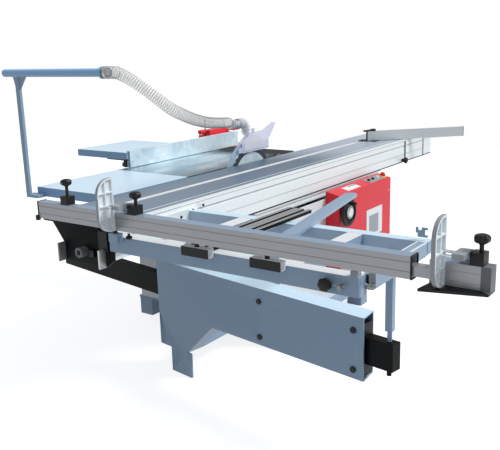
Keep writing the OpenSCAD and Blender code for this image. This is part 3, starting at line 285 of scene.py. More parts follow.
# bright disc inside a dark toothed rim, told apart by the reach from the spindle
def bladeFinish(name, dark, light, rim, centre, reach, blur=0.004, rough=0.22, depth=0.0002):
    shade = Shade(name)
    flat = {0: shade.coords(), 1: (0, 1, 1)}
    place = shade.add("ShaderNodeVectorMath", {"operation": "MULTIPLY"}, flat)
    far = shade.add("ShaderNodeVectorMath", {"operation": "DISTANCE"}, {0: place, 1: centre}, "Value")
    cloud = shade.noise(scale=11, detail=4)
    colour = shade.mix(shade.spread(cloud, low=0.35, high=0.65), tone(dark), tone(light))
    colour = shade.mix(shade.spread(far, reach, reach + blur), colour, tone(rim))
    return shade.close(Base_Color=colour, Metallic=0.3, Roughness=cloud * 0.2 + rough,
                       Normal=shade.bump(cloud, depth))


# clear hose wall with a grey spiral wire, told apart by an attribute of the mesh
def hoseFinish(name, wall, light, wire, clear=0.24, solid=0.5, rough=0.25, depth=0.0004):
    shade = Shade(name)
    cloud = shade.noise(scale=30, detail=3)
    ridge = shade.add("ShaderNodeAttribute", {"attribute_name": "wire"}, out="Fac")
    colour = shade.mix(cloud, tone(wall), tone(light))
    colour = shade.mix(shade.spread(ridge, low=0.3, high=0.7), colour, tone(wire))
    return shade.close(Base_Color=colour, Roughness=cloud * 0.15 + rough, Alpha=ridge * solid + clear,
                       Normal=shade.bump(cloud, depth))


finishes = {
    "paint": paintFinish("bluePaint", "829cb6", "8fa7c0", 0.4),
    # the boom's paint: painted reflection, grey below and light blue above
    "boomPaint": pipeReflectionFinish("boomPaint", [(0.0, "829cb6"), (0.08, "a6bdda"), (0.3, "91b1d0"),
                                          (0.5, "85afd4"), (0.7, "7face4"), (1.0, "94c8f2")],
                            low=1.39, high=1.429, rough=0.4),
    # the blue paint lightened for top faces: painted highlight
    "tablePaint": paintFinish("tablePaint", "c6e2f7", "d8effe", 0.32, 0.00001),
    # pale paint; also the painted highlight on the tops of the near beam and cross members
    "palePaint": paintFinish("palePaint", "d9dee3", "e6eaee", 0.5),
    # the near-black tone is the painted dark reflection at the table's front
    "ground": polishedFinish("groundIron", "86a4b5", "d9ebf5", "4d6475", "15191c", 0.22),
    "anodised": metalFinish("anodised", "9c9ea3", "adaeb1", 0.42, (0.02, 1, 1), 0.5),
    # bluer top face of the fence: painted reflection
    "anodisedTop": metalFinish("anodisedTop", "869db8", "9cb1c8", 0.42, (0.02, 1, 1), 0.3),
    # darker, bluer blue for the tables' side faces: painted shade
    "edgePaint": paintFinish("edgePaint", "6f96be", "7aa0c6", 0.4),
    # lighter blue for the far beam's shaded face: painted bounce light
    "shadePaint": paintFinish("shadePaint", "a3bcd4", "b0c7dd", 0.4),
    "paleAlu": metalFinish("paleAluminium", "c3cbd0", "d6dde1", 0.4, (1, 1, 0.02), 0.6),
    "carriageAlu": metalFinish("carriageAluminium", "e3ebee", "f1f8fa", 0.38, (1, 0.02, 1), 0.15),
    # the carriage top's tones along its length are a painted reflection
    "carriageTop": reflectionRampFinish("carriageTop", [(0.0, "bccad5"), (0.3, "a8b3c3"), (0.48, "4c627b"),
                                              (0.62, "566b82"), (1.0, "76899f")],
                               low=-1.3, high=1.5, rough=0.36),
    "steel": metalFinish("steel", "a9adb1", "c9cccf", 0.3, (1, 1, 0.05)),
    # darker zinc of the wing bolts; also painted shade on the end bracket's left cheek
    "darkZinc": metalFinish("darkZinc", "7c8081", "95999a", 0.4, (1, 1, 1), 0.5),
    "bladeSteel": bladeFinish("bladeSteel", "b4ccd8", "e9f2f5", "3b4246", (0, 0, 0.755), 0.166),
    "knifeSteel": metalFinish("knifeSteel", "9fc0d6", "b9d4e4", 0.32, (1, 1, 0.05), 0.4),
    "chrome": metalFinish("chrome", "d5d7d9", "eceeef", 0.16, (1, 1, 1)),
    "zinc": metalFinish("zincPlate", "b4b7b4", "d2d4d0", 0.38, (1, 1, 1), 0.9),
    "galvanised": spangleFinish("galvanised", "c3dbe8", "eefaff", 30, 0.36),
    "blackPaint": paintFinish("blackPaint", "090a0b", "111315", 0.5, shine=0.1),
    "blackPlastic": mouldedFinish("blackPlastic", "0b0c0e", "17191b", 0.42, shine=0.3),
    "darkGrey": mouldedFinish("darkGreyPlastic", "5c6165", "6c7175", 0.5),
    "rubber": mouldedFinish("rubber", "141414", "202020", 0.7, shine=0.3),
    "greyPlastic": mouldedFinish("greyPlastic", "dbe4ea", "e8eff4", 0.45),
    "greyPaint": paintFinish("greyPaint", "8b9299", "9aa1a8", 0.4),
    "redPaint": paintFinish("redPaint", "d82836", "e43644", 0.4, shine=0.25),
    "redPlastic": mouldedFinish("redPlastic", "c4161c", "d8262c", 0.32),
    "yellow": mouldedFinish("yellowPlastic", "e5b511", "f1c62a", 0.4),
    # white plates, buttons and dial; also the painted highlight in the carriage's slot
    "white": mouldedFinish("whitePlate", "dfe3e6", "eceff1", 0.4),
    "guard": guardFinish("guardPlastic", "cdd8f4", "e3e4f6", 0.5),
    "guardPale": guardFinish("guardDome", "eef1f8", "fbf5f9", 0.4),
    "hose": hoseFinish("hosePlastic", "f4f5f3", "fdfdfc", "74797c"),
}
print("finishes made:", len(finishes))

nodeFinishes = {
    "paint": ["near_beam", "far_beam", "outrigger_post", "support_bar", "arm_housing", "arm_pedestal",
              "base_frame", "arbor_block", "motor", "cross_members"],
    "boomPaint": ["dust_boom"],
    # the tables' side faces carry painted shade
    "edgePaint": ["rip_table", "outfeed_table"],
    "palePaint": ["cabinet_front", "cabinet_rear", "cabinet_left", "cabinet_door", "fence_rests",
                  "guide_rail"],
    "ground": ["main_table"],
    "anodised": ["fence_profile", "fence_extension"],
    "paleAlu": ["mitre_fence"],
    "galvanised": ["rip_profile"],
    "carriageAlu": ["carriage_beam", "carriage_front_block", "outrigger_mount"],
    "steel": ["rip_rail", "main_arbor", "scorer"],
    "bladeSteel": ["saw_blade"],
    "knifeSteel": ["riving_knife"],
    "zinc": ["end_bracket"],
    "blackPaint": ["table_brackets", "trunnion_guides", "dust_port", "carriage_rear_cap", "tilt_frame",
                   "arm_beam", "motor_pulley"],
    "blackPlastic": ["star_knob", "fence_knob", "extension_foot", "stop_block", "mitre_base", "mitre_lever",
                     "lock_knob", "tilt_wheel", "lift_wheel", "arm_guides"],
    "rubber": ["drive_belt"],
    "darkGrey": ["end_buffer"],
    "greyPlastic": ["flip_stop", "end_stop"],
    "redPaint": ["control_box", "rip_carrier"],
    "redPlastic": ["rip_lever", "stop_button"],
    "guard": ["blade_guard"],
    "hose": ["dust_hose"],
}
finishOf = {name: finish for finish, names in nodeFinishes.items() for name in names}


def finishNodes(table):
    for name, finish in table.items():
        slots = nodes[name].data.materials
        slots.clear()
        slots.append(finishes[finish])


finishNodes(finishOf)
bodyOf = {name: body for body, names in frame["record"]["behaviour"]["bodies"].items() for name in names}
print("nodes finished")


# degrees: corners shaded sharp, corners broken on solids and on trim, flats joined; metres: points joined
edgeRules = {"shade": 20, "solid": 40, "trim": 30, "flat": 0.5, "weld": 1e-6, "segments": 2}


def breakEdges(shape, corner, width):
    limit = math.radians(edgeRules[corner])
    sharp = [e for e in shape.edges if e.calc_face_angle(0) > limit]
    bmesh.ops.bevel(shape, geom=sharp, offset=width, segments=edgeRules["segments"], profile=0.5,
                    affect="EDGES", clamp_overlap=True)


def link(name, mesh, body, finish):
    piece = bpy.data.objects.new(name, mesh)
    bpy.context.collection.objects.link(piece)
    if not mesh.materials:
        mesh.materials.append(finishes[finish])
    mesh.polygons.foreach_set("use_smooth", [True] * len(mesh.polygons))
    mesh.set_sharp_from_angle(angle=math.radians(edgeRules["shade"]))
    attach(piece, body)
    return piece


# solids with broken edges, by the width in metres; regions of a node may take another finish
edgeWidths = {
    0.0025: ["arm_housing", "arm_pedestal", "base_frame", "near_beam", "far_beam", "control_box",
             "outfeed_table", "rip_table", "main_table", "arm_beam", "outrigger_post", "cross_members"],
    0.0015: ["fence_profile", "fence_extension", "carriage_beam", "carriage_front_block", "rip_profile",
             "rip_carrier", "support_bar", "fence_rests", "outrigger_mount", "mitre_fence",
             "carriage_rear_cap", "guide_rail", "mitre_base", "cabinet_left", "cabinet_rear"],
    0.0008: ["flip_stop", "end_stop", "end_bracket"],
    0.002: ["fence_knob", "stop_block", "extension_foot"],
}
# the finish inside a lowest and a highest corner in metres
regions = {
    # top faces of the blue tables, arm and beams take a painted highlight
    "outfeed_table": [("tablePaint", (0, 0.5, 0.8695), (0.51, 1.1, 0.8705))],
    "rip_table": [("tablePaint", (0.5, -0.5, 0.8695), (1.39, 0.1, 0.8705))],
    "arm_housing": [("tablePaint", (-1.3, 0.7, 0.5395), (0, 1.1, 0.5405))],
    # the near beam's top: painted highlight
    "near_beam": [("palePaint", (-1.5, 1.4, 0.8425), (-0.4, 1.6, 0.8435))],
    # the fence's top faces take the painted reflection
    "fence_profile": [("anodisedTop", (-1.7, 1.49, 0.9395), (0, 1.56, 0.9405))],
    "fence_extension": [("anodisedTop", (-1.9, 1.49, 0.9395), (0, 1.56, 0.9405))],
    "far_beam": [("tablePaint", (-1.5, 1.0, 0.8425), (-0.4, 1.1, 0.8435)),
                 # the shaded +Y face lightened with painted bounce light
                 ("shadePaint", (-1.5, 1.0575, 0.80), (-0.4, 1.0585, 0.8425))],
    "flip_stop": [("greyPaint", (-0.4948, 1.40, 0.8), (-0.4932, 1.70, 1.2)),
                  ("greyPaint", (-0.570, 1.40, 0.8), (-0.5295, 1.70, 1.2)),
                  ("chrome", (-0.5295, 1.40, 0.8), (-0.5005, 1.70, 1.2))],
    "end_stop": [("greyPaint", (-1.7078, 1.40, 0.8), (-1.7062, 1.70, 1.2)),
                 ("greyPaint", (-1.780, 1.40, 0.8), (-1.7425, 1.70, 1.2)),
                 ("chrome", (-1.7425, 1.40, 0.8), (-1.7135, 1.70, 1.2))],
    "fence_rests": [("blackPlastic", (-2, 1.5445, 0.8), (-0.7, 1.60, 0.862)),
                    ("blackPlastic", (-2, 1.50, 0.8605), (0, 1.60, 0.89)),
                    ("paint", (-0.6, 1.40, 0.7), (0, 1.60, 0.8605))],
    # the top takes the painted reflection
    "carriage_beam": [("carriageTop", (-0.414, -2, 0.8695), (-0.017, 2, 0.8705)),
                      # white on the slot's wall is a painted highlight
                      ("white", (-0.188, -2, 0.852), (-0.172, 2, 0.8694))],
    # the top takes the painted reflection
    "carriage_front_block": [("carriageTop", (-0.414, -2, 0.8695), (-0.017, 2, 0.8705)),
                             # white on the slot's wall is a painted highlight
                             ("white", (-0.188, -2, 0.852), (-0.172, 2, 0.8694))],
    # the cross members' tops: painted highlight
    "cross_members": [("palePaint", (-1.5, 0.8, 0.8425), (-0.6, 1.52, 0.8432)),
                      ("steel", (-0.905, 0.8, 0.8432), (-0.791, 1.52, 0.86)),
                      ("blackPaint", (-0.905, 0.8, 0.8445), (-0.791, 1.52, 0.8575))],
    "extension_foot": [("darkGrey", (-1.84, 1.4, 0.873), (-1.8062, 1.6, 0.942))],
    # the left cheek takes darker zinc: painted shade
    "end_bracket": [("darkZinc", (-0.25, 1.40, 0.5), (0.1, 1.60, 0.9))],
    "rip_carrier": [("blackPaint", (0.55, -0.302, 0.9), (0.57, -0.2925, 1.2))],
}
# heads above these heights in metres are made again with lobes
knobCuts = {"fence_knob": 1.0105, "stop_block": 0.9945, "extension_foot": 0.9945}


def inside(place, low, high):
    return all(a <= c <= b for a, c, b in zip(low, place, high))


def soften(name, width):
    shape = bmesh.new()
    shape.from_mesh(nodes[name].data)
    bmesh.ops.remove_doubles(shape, verts=shape.verts, dist=edgeRules["weld"])
    heads = [f for f in shape.faces if f.calc_center_median().z > knobCuts.get(name, math.inf)]
    bmesh.ops.delete(shape, geom=heads, context="FACES")
    flat = math.radians(edgeRules["flat"])
    bmesh.ops.dissolve_limit(shape, angle_limit=flat, verts=shape.verts, edges=shape.edges)
    breakEdges(shape, "solid", width)
    bmesh.ops.triangulate(shape, faces=[f for f in shape.faces if len(f.verts) > 4])
    mesh = bpy.data.meshes.new(name + "Skin")
    shape.to_mesh(mesh)
    shape.free()
    mesh.materials.append(finishes[finishOf[name]])
    for finish, low, high in regions.get(name, []):
        mesh.materials.append(finishes[finish])
        for face in mesh.polygons:
            if inside(face.center, low, high):
                face.material_index = len(mesh.materials) - 1
    piece = link(name + "Skin", mesh, bodyOf[name], finishOf[name])
    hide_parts(name)


for edgeWidth, names in edgeWidths.items():
    for name in names:
        soften(name, edgeWidth)
print("edges broken:", sum(len(v) for v in edgeWidths.values()))


# shapes for trim, in millimetres of the shared frame
class Trim:
    def __init__(self):
        self.shape = bmesh.new()

    def take(self, part, soft=0.0):
        if soft:
            breakEdges(part, "trim", soft)
        bmesh.ops.recalc_face_normals(part, faces=part.faces)
        held = bpy.data.meshes.new("held")
        part.to_mesh(held)
        part.free()
        self.shape.from_mesh(held)
        bpy.data.meshes.remove(held)

    def box(self, low, high, soft=1.0):
        part = bmesh.new()
        bmesh.ops.create_cube(part, size=1)
        low, high = Vector(low), Vector(high)
        for v in part.verts:
            v.co = Vector(((low + high)[i] / 2 + (high - low)[i] * v.co[i] for i in range(3)))
        self.take(part, soft)

    # outline in a plane through origin, swept by depth along across x along
    def plate(self, outline, origin, across, along, depth, soft=0.8):
        part = bmesh.new()
        across, along = Vector(across).normalized(), Vector(along).normalized()
        rise = across.cross(along) * depth
        base = [part.verts.new(Vector(origin) + across * u + along * v) for u, v in outline]
        top = [part.verts.new(v.co + rise) for v in base]
        part.faces.new(list(reversed(base)))
        part.faces.new(top)
        count = len(base)
        for i in range(count):
            part.faces.new((base[i], base[(i + 1) % count], top[(i + 1) % count], top[i]))
        self.take(part, soft)

    # profile of radius and height pairs, turned about axis; lobes make a grip
    def turned(self, profile, origin, axis, sides=32, lobes=0, depth=0.0):
        part = bmesh.new()
        rise = Vector(axis).normalized()
        side = rise.orthogonal().normalized()
        front = rise.cross(side)
        rings = []
        for radius, height in profile:
            ring = []
            for k in range(sides):
                angle = math.tau * k / sides
                reach = radius * (1 - depth * (0.5 - 0.5 * math.cos(lobes * angle)))
                way = math.cos(angle) * side + math.sin(angle) * front
                ring.append(part.verts.new(Vector(origin) + rise * height + reach * way))
            rings.append(ring)
        for a, b in zip(rings, rings[1:]):
            for k in range(sides):
                part.faces.new((a[k], a[(k + 1) % sides], b[(k + 1) % sides], b[k]))
        part.faces.new(list(reversed(rings[0])))
        part.faces.new(rings[-1])
        self.take(part)

    def rod(self, start, end, radius, sides=24):
        way = Vector(end) - Vector(start)
        edge = min(radius / 4, 1.0)
        inner, top = radius - edge, way.length
        self.turned([(inner, 0), (radius, edge), (radius, top - edge), (inner, top)], start, way, sides)

    def hexagon(self, start, axis, radius, height, edge=0.12):
        inner = radius * (1 - edge)
        profile = [(inner, 0), (radius, height * edge), (radius, height * (1 - edge)), (inner, height)]
        self.turned(profile, start, axis, 6)

    def piece(self, name, finish, body):
        mesh = bpy.data.meshes.new(name)
        bmesh.ops.scale(self.shape, vec=(0.001, 0.001, 0.001), verts=self.shape.verts)
        self.shape.to_mesh(mesh)
        self.shape.free()
        return link(name, mesh, body, finish)


def rectangle(u0, v0, u1, v1):
    return [(u0, v0), (u1, v0), (u1, v1), (u0, v1)]


# geometry trees for what repeats
def geometryTree(name, inputs):
    tree = bpy.data.node_groups.new(name, "GeometryNodeTree")
    graph = Graph(tree)
    for label, kind in inputs.items():
        tree.interface.new_socket(label, in_out="INPUT", socket_type="NodeSocket" + kind)
    tree.interface.new_socket("Geometry", in_out="OUTPUT", socket_type="NodeSocketGeometry")
    start = tree.nodes.new("NodeGroupInput")
    return graph, {label: Wire(graph, start.outputs[label]) for label in inputs}


def closeTree(graph, shape, material):
    solid = graph.add("GeometryNodeRealizeInstances", None, {"Geometry": shape})
    painted = graph.add("GeometryNodeSetMaterial", None, {"Geometry": solid, "Material": material})
    graph.add("NodeGroupOutput", None, {"Geometry": painted})
    return graph.tree


def runTree(tree, mesh, values):
    holder = bpy.data.objects.new("holder", mesh)
    bpy.context.collection.objects.link(holder)
    modifier = holder.modifiers.new("tree", "NODES")
    modifier.node_group = tree
    for item in tree.interface.items_tree:
        if item.in_out == "INPUT" and item.name in values:
            modifier[item.identifier] = values[item.name]
    ready = holder.evaluated_get(bpy.context.evaluated_depsgraph_get())
    made = bpy.data.meshes.new_from_object(ready)
    holder.modifiers.clear()
    bpy.data.objects.remove(holder)
    return made


# shares of a bolt's radius and height, and sides of its washer and head
boltForm = {"washerHeight": 0.4, "headRadius": 0.82, "lift": 0.5, "washerSides": 24, "headSides": 6}


# a hexagon head on a washer at every point, along the point's axis
def boltTree(form):
    inputs = {"Geometry": "Geometry", "Radius": "Float", "Height": "Float", "Material": "Material"}
    graph, given = geometryTree("boltPattern", inputs)
    radius, height = given["Radius"], given["Height"]
    sockets = {"Vertices": form["washerSides"], "Radius": radius, "Depth": height * form["washerHeight"]}
    washer = graph.add("GeometryNodeMeshCylinder", None, sockets)
    sockets = {"Vertices": form["headSides"], "Radius": radius * form["headRadius"], "Depth": height}
    head = graph.add("GeometryNodeMeshCylinder", None, sockets)
    lift = graph.add("ShaderNodeCombineXYZ", None, {"Z": height * form["lift"]})
    head = graph.add("GeometryNodeTransform", None, {"Geometry": head, "Translation": lift})
    both = graph.tree.nodes.new("GeometryNodeJoinGeometry")
    for part in (washer, head):
        graph.tree.links.new(part.socket, both.inputs[0])
    axis = graph.add("GeometryNodeInputNamedAttribute", {"data_type": "FLOAT_VECTOR"}, {"Name": "axis"})
    turn = graph.add("FunctionNodeAlignRotationToVector", {"axis": "Z"}, {"Vector": axis})
    sockets = {"Points": given["Geometry"], "Rotation": turn, "Instance": Wire(graph, both.outputs[0])}
    spread = graph.add("GeometryNodeInstanceOnPoints", None, sockets)
    return closeTree(graph, spread, given["Material"])


# short marks around a circle
def markTree():
    inputs = {"Geometry": "Geometry", "Count": "Int", "Radius": "Float", "Size": "Vector",
              "Material": "Material"}
    graph, given = geometryTree("dialMarks", inputs)
    sockets = {"Vertices": given["Count"], "Radius": given["Radius"]}
    ring = graph.add("GeometryNodeMeshCircle", None, sockets)
    mark = graph.add("GeometryNodeMeshCube", None, {"Size": given["Size"]})
    place = graph.add("GeometryNodeInputPosition")
    turn = graph.add("FunctionNodeAlignRotationToVector", {"axis": "X"}, {"Vector": place})
    sockets = {"Points": ring, "Rotation": turn, "Instance": mark}
    spread = graph.add("GeometryNodeInstanceOnPoints", None, sockets)
    return closeTree(graph, spread, given["Material"])


boltPattern = boltTree(boltForm)
dialMarks = markTree()


def pointMesh(places, axis):
    mesh = bpy.data.meshes.new("points")
    mesh.from_pydata([Vector(p) / 1000 for p in places], [], [])
    mark = mesh.attributes.new("axis", "FLOAT_VECTOR", "POINT")
    for value in mark.data:
        value.vector = axis
    return mesh


# places in mm, the way the heads face, radius and height in mm
boltRows = {
    "mountScrews": {"places": [(-430.3, 965, 849), (-430.3, 1033, 841), (-430.3, 1110, 826),
                               (-430.3, 1390, 826)],
                    "axis": (-1, 0, 0), "radius": 6, "height": 4, "finish": "blackPlastic",
                    "body": "carriage"},
    "capScrews": {"places": [(-392, 1492.2, 858), (-60, 1492.2, 858), (-340, 1492.2, 858)],
                  "axis": (0, 1, 0), "radius": 6, "height": 4, "finish": "blackPlastic",
                  "body": "carriage"},
    "panelScrews": {"places": [(-455.3, -430, 140), (-455.3, 400, 140), (-455.3, 400, 660),
                               (-455.3, -20, 660)],
                    "axis": (-1, 0, 0), "radius": 6, "height": 4, "finish": "zinc", "body": "frame"},
    "boxScrews": {"places": [(-540.3, -660, 330), (-540.3, -660, 640), (-540.3, -75, 330),
                             (-540.3, -170, 690)],
                  "axis": (-1, 0, 0), "radius": 5, "height": 3, "finish": "zinc", "body": "frame"},
}


def makeBolts(rows):
    for name, row in rows.items():
        values = {"Radius": row["radius"] / 1000, "Height": row["height"] / 1000,
                  "Material": finishes[row["finish"]]}
        heads = runTree(boltPattern, pointMesh(row["places"], row["axis"]), values)
        link(name, heads, row["body"], row["finish"])


makeBolts(boltRows)
print("bolts set:", len(boltRows), "rows")


# hand knobs with lobed rims, in mm; a whole knob also has its nut and stands for its node
knobForm = {
    "profile": [(9, -1), (10, 1), (16, 3), (21, 7), (22, 13), (21.6, 18), (18, 23), (11, 25.5), (4, 26)],
    "sides": 84,
    "lobes": 7,
    "depth": 0.10,
    "nutBack": 13.5,
    "nutRadius": 11,
    "nutHeight": 14,
}
upward, rearward, outward = (0, 0, 1), (0, 1, 0), (-1, 0, 0)
# place, axis, scale, body and whether the knob is whole
knobs = {
    "fence_knob": ((-230, 1524, 1011), upward, 1.0, "crosscut_fence", False),
    "stop_block": ((-585.5, 1524, 995), upward, 1.0, "stop_carrier", False),
    "extension_foot": ((-1798.5, 1524, 995), upward, 1.0, "extension", False),
    "star_knob": ((-1346, 1524, 812), rearward, 1.0, "outrigger_knob", True),
    "lock_knob": ((-432, -1127, 745), outward, 0.95, "carriage_lock", True),
}


def makeKnobs(form, table):
    for node, (place, axis, scale, body, whole) in table.items():
        trim = Trim()
        profile = [(r * scale, h * scale) for r, h in form["profile"]]
        trim.turned(profile, place, axis, form["sides"], form["lobes"], form["depth"])
        if whole:
            way = Vector(axis)
            nut = Vector(place) - way * form["nutBack"]
            trim.hexagon(nut, way, form["nutRadius"], form["nutHeight"])
        piece = trim.piece(node + "Grip", "blackPlastic", body)
        if whole:
            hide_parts(node)


makeKnobs(knobForm, knobs)
print("knobs made:", len(knobs))


# plates without lettering and buttons on the sloping top of the control box, in mm
topForm = {
    "edge": (-455, 730),  # x and z where the slope starts
    "fall": 18,
    "run": 85,
    "plates": {
        "boxLabel": {"centre": (-501, -252), "size": (46, 150), "finish": "white"},
        "buttonPanel": {"centre": (-500, -545), "size": (56, 196), "finish": "greyPaint"},
    },
    "plateRise": 0.1,
    "plateThick": 1.6,
    "plateSoft": 0.5,
    "panelRise": 1.8,
    "bar": {"place": (-488, -262), "corners": (-3, -60, 3, 20), "thick": 0.5},
    "buttonX": -497,
    "buttons": [(-478, "blackPlastic"), (-530, "blackPlastic"), (-590, "white")],
    "buttonProfile": [(11, 0), (11, 4), (10, 5), (8, 5), (8, 8), (7, 9), (2, 9.2)],
    "collarPlace": (-500, -655, 0.2),
    "collarProfile": [(25, 0), (25, 3), (23, 5), (18.6, 5), (18.6, 0.2)],
    "collarSides": 40,
}
topSlope = math.atan(topForm["fall"] / topForm["run"])


def boxTop(x, y, rise):
    edgeX, edgeZ = topForm["edge"]
    z = edgeZ + (x - edgeX) * math.tan(topSlope)
    return Vector((x - math.sin(topSlope) * rise, y, z + math.cos(topSlope) * rise))


def makeBoxTop(form):
    across = Vector((math.cos(topSlope), 0, math.sin(topSlope)))
    normal = across.cross(Vector(rearward))
    for name, plate in form["plates"].items():
        trim = Trim()
        wide, deep = plate["size"]
        outline = rectangle(-wide / 2, -deep / 2, wide / 2, deep / 2)
        place = boxTop(*plate["centre"], form["plateRise"])
        trim.plate(outline, place, across, rearward, form["plateThick"], form["plateSoft"])
        trim.piece(name, plate["finish"], "frame")
    line = Trim()
    bar = form["bar"]
    place = boxTop(*bar["place"], form["panelRise"])
    line.plate(rectangle(*bar["corners"]), place, across, rearward, bar["thick"], 0.0)
    line.piece("boxLabelBar", "blackPlastic", "frame")
    for index, (y, finish) in enumerate(form["buttons"]):
        button = Trim()
        button.turned(form["buttonProfile"], boxTop(form["buttonX"], y, form["panelRise"]), normal)
        button.piece("button%d" % index, finish, "frame")
    collar = Trim()
    collar.turned(form["collarProfile"], boxTop(*form["collarPlace"]), normal, form["collarSides"])
    collar.piece("stopCollar", "yellow", "frame")


makeBoxTop(topForm)


# body, finish, lowest and highest corner in mm, and the width of the broken edge if not 1 mm
noticeForms = {
    "notice": ("frame", "white", (-541.2, -571, 405), (-540.2, -367, 568), 0.4),
    "noticePicture": ("frame", "greyPaint", (-541.6, -520, 420), (-541.1, -400, 530), 0.2),
}
# plates, joint lines, strips, caps and small clamps
boxForms = {
    "coverPlate": ("carriage", "blackPlastic", (-400, 1492.3, 771), (-352, 1500, 846)),
    "latchBlock": ("carriage", "blackPlastic", (-330, 1492.3, 740), (-304, 1508, 766)),
    "jointBand": ("carriage", "darkGrey", (-419.5, -1184, 736), (-417.6, -1158, 866)),
    "frontBand": ("carriage", "darkGrey", (-419.5, -1480, 738), (-417.6, -1470, 868)),
    # white strip along the slot's edge: painted highlight
    "slotEdgeHighlight": ("carriage", "white", (-172.4, -1612, 869.7), (-158, 1478, 870.5)),
    "edgeStrip": ("carriage", "carriageAlu", (-416, -1612, 869.7), (-384, 1478, 870.5)),
    "sideLineTop": ("carriage", "greyPaint", (-418.5, -1470, 864), (-417.6, 1478, 866.5)),
    "sideLineMid": ("carriage", "greyPaint", (-418.5, -1470, 834.5), (-417.6, 1478, 838.5)),
    "sideLineLow": ("carriage", "paleAlu", (-418.5, -1470, 777), (-417.6, 1478, 784)),
    "underStrip": ("carriage", "blackPlastic", (-419, -1616, 728), (-405, 1380, 734.2)),
    "outerInlay": ("carriage", "paint", (-1461, 1062, 842.6), (-1439, 1466, 843.8)),
    "beamCap": ("carriage", "paint", (-1446.5, 1466, 780), (-1444.6, 1516, 844)),
    "farCap": ("carriage", "paint", (-1471.5, 1009, 800), (-1469.6, 1059, 844)),
    "endStud": ("crosscut_fence", "blackPlastic", (-80.5, 1538, 866), (-66, 1552, 886)),
    "wingBracket": ("carriage", "greyPaint", (-1490, 1489, 812), (-1468, 1494, 858)),
    "clampBlock": ("carriage", "greyPaint", (-1443, 1490, 842), (-1420, 1517, 862)),
    "rearClamp": ("rip_fence", "blackPlastic", (494.2, 470, 874), (514, 486, 916)),
    "rearCatch": ("rip_fence", "blackPlastic", (508, 473, 876), (528, 483, 898)),
    "extensionLineTop": ("extension", "greyPaint", (-1805, 1544.6, 918), (-1714, 1545.5, 919.6)),
    "extensionLineLow": ("extension", "greyPaint", (-1805, 1544.6, 890), (-1714, 1545.5, 891.6)),
}


def makeBoxes(forms):
    for name, (body, finish, low, high, *soft) in forms.items():
        trim = Trim()
        trim.box(low, high, *soft)
        trim.piece(name, finish, body)


makeBoxes(noticeForms)
print("box dressed")
makeBoxes(boxForms)
print("boxes made:", len(boxForms))


# small clamp screws, wing bolts and the hooked catch, in mm
fittingForm = {
    "screwPlaces": [(-468, 1524, 852), (-541, 1524, 852)],
    "screwProfile": [(2, -9), (8, -8), (12, -4), (12, 0), (9, 3), (5, 4), (5, 12)],
    "screwSides": 28,
    "wingPlaces": [(-1395, 1515, 812), (-1481, 1494, 822)],
    "wingRods": [(0, 22, 4), (10, 26, 8)],  # start, end and radius
    "earStart": 15,
    "earEnds": [(-17, 24, 9), (17, 24, 9)],
    "earRadius": 3.6,
    "hookPlace": (-1461, 1036, 853),
    "hookOutline": [(0, 0), (36, 0), (36, 14), (43, 14), (43, 34), (34, 34), (34, 24), (22, 24), (22, 34),
                    (0, 34), (0, 26), (10, 26), (10, 8), (0, 8)],
    "hookThick": 4,
    "hookSoft": 0.6,
}


def makeFittings(form):
    feet = Trim()
    for place in form["screwPlaces"]:
        feet.turned(form["screwProfile"], place, upward, form["screwSides"])
    feet.piece("fenceScrews", "blackPlastic", "crosscut_fence")
    wings = Trim()
    rise = Vector(rearward)
    for place in map(Vector, form["wingPlaces"]):
        for start, end, radius in form["wingRods"]:
            wings.rod(place + rise * start, place + rise * end, radius)
        for tip in form["earEnds"]:
            wings.rod(place + rise * form["earStart"], place + Vector(tip), form["earRadius"])
    wings.piece("wingBolts", "darkZinc", "carriage")
    hook = Trim()
    thick, soft = form["hookThick"], form["hookSoft"]
    hook.plate(form["hookOutline"], form["hookPlace"], (1, 0, 0), upward, thick, soft)
    hook.piece("catchHook", "paint", "carriage")


makeFittings(fittingForm)
print("fittings made")


# dark frame around the open end of the fence, and the cap on its other end, in mm
fenceFrame = {
    "x": (-1621, -1615.5),
    "y": (1501.5, 1546.5),
    "z": (873.5, 941.5),
    "wall": 1.4,
    "lap": 1.2,
    "soft": 0.4,
    "capX": (-81.2, -75.5),
}


def makeFenceFrame(form):
    trim = Trim()
    (x0, x1), (y0, y1), (z0, z1), (c0, c1) = form["x"], form["y"], form["z"], form["capX"]
    wall, lap, soft = form["wall"], form["lap"], form["soft"]
    trim.box((x0, y0, z0), (x1, y0 + wall, z1), soft)
    trim.box((x0, y1 - wall, z0), (x1, y1, z1), soft)
    trim.box((x0, y0 + lap, z0), (x1, y1 - lap, z0 + wall), soft)
    trim.box((x0, y0 + lap, z1 - wall), (x1, y1 - lap, z1), soft)
    trim.piece("fenceFrame", "blackPlastic", "crosscut_fence")
    cap = Trim()
    cap.box((c0, y0, z0), (c1, y1, z1))
    cap.piece("fenceCap", "blackPlastic", "crosscut_fence")


makeFenceFrame(fenceFrame)


# end caps of the mitre fence, which stands at half a right angle, in mm
mitreCaps = {
    "starts": (875.6, 1545.9),
    "across": (-592.6, -567.0),
    "heights": (873.8, 937.4),
    "depth": 2.8,
    "soft": 0.6,
}


def makeMitreCaps(form):
    along = Vector((-1, -1, 0)).normalized()
    side = Vector((-1, 1, 0)).normalized()
    (near, far), (low, high) = form["across"], form["heights"]
    outline = rectangle(near, low, far, high)
    for index, start in enumerate(form["starts"]):
        trim = Trim()
        trim.plate(outline, along * start, side, upward, -form["depth"], form["soft"])
        trim.piece("mitreCap%d" % index, "blackPlastic", "mitre")


makeMitreCaps(mitreCaps)


# hand wheel dial with marks, in mm
dialForm = {
    "place": (-585, -80, 622),
    "profile": [(34, 0), (34, 3), (32, 5), (4, 5.4)],
    "sides": 48,
    "marks": 40,
    "markRing": 28,
    "markSize": (5, 1.2, 0.6),
    "markLift": 5.6,
}


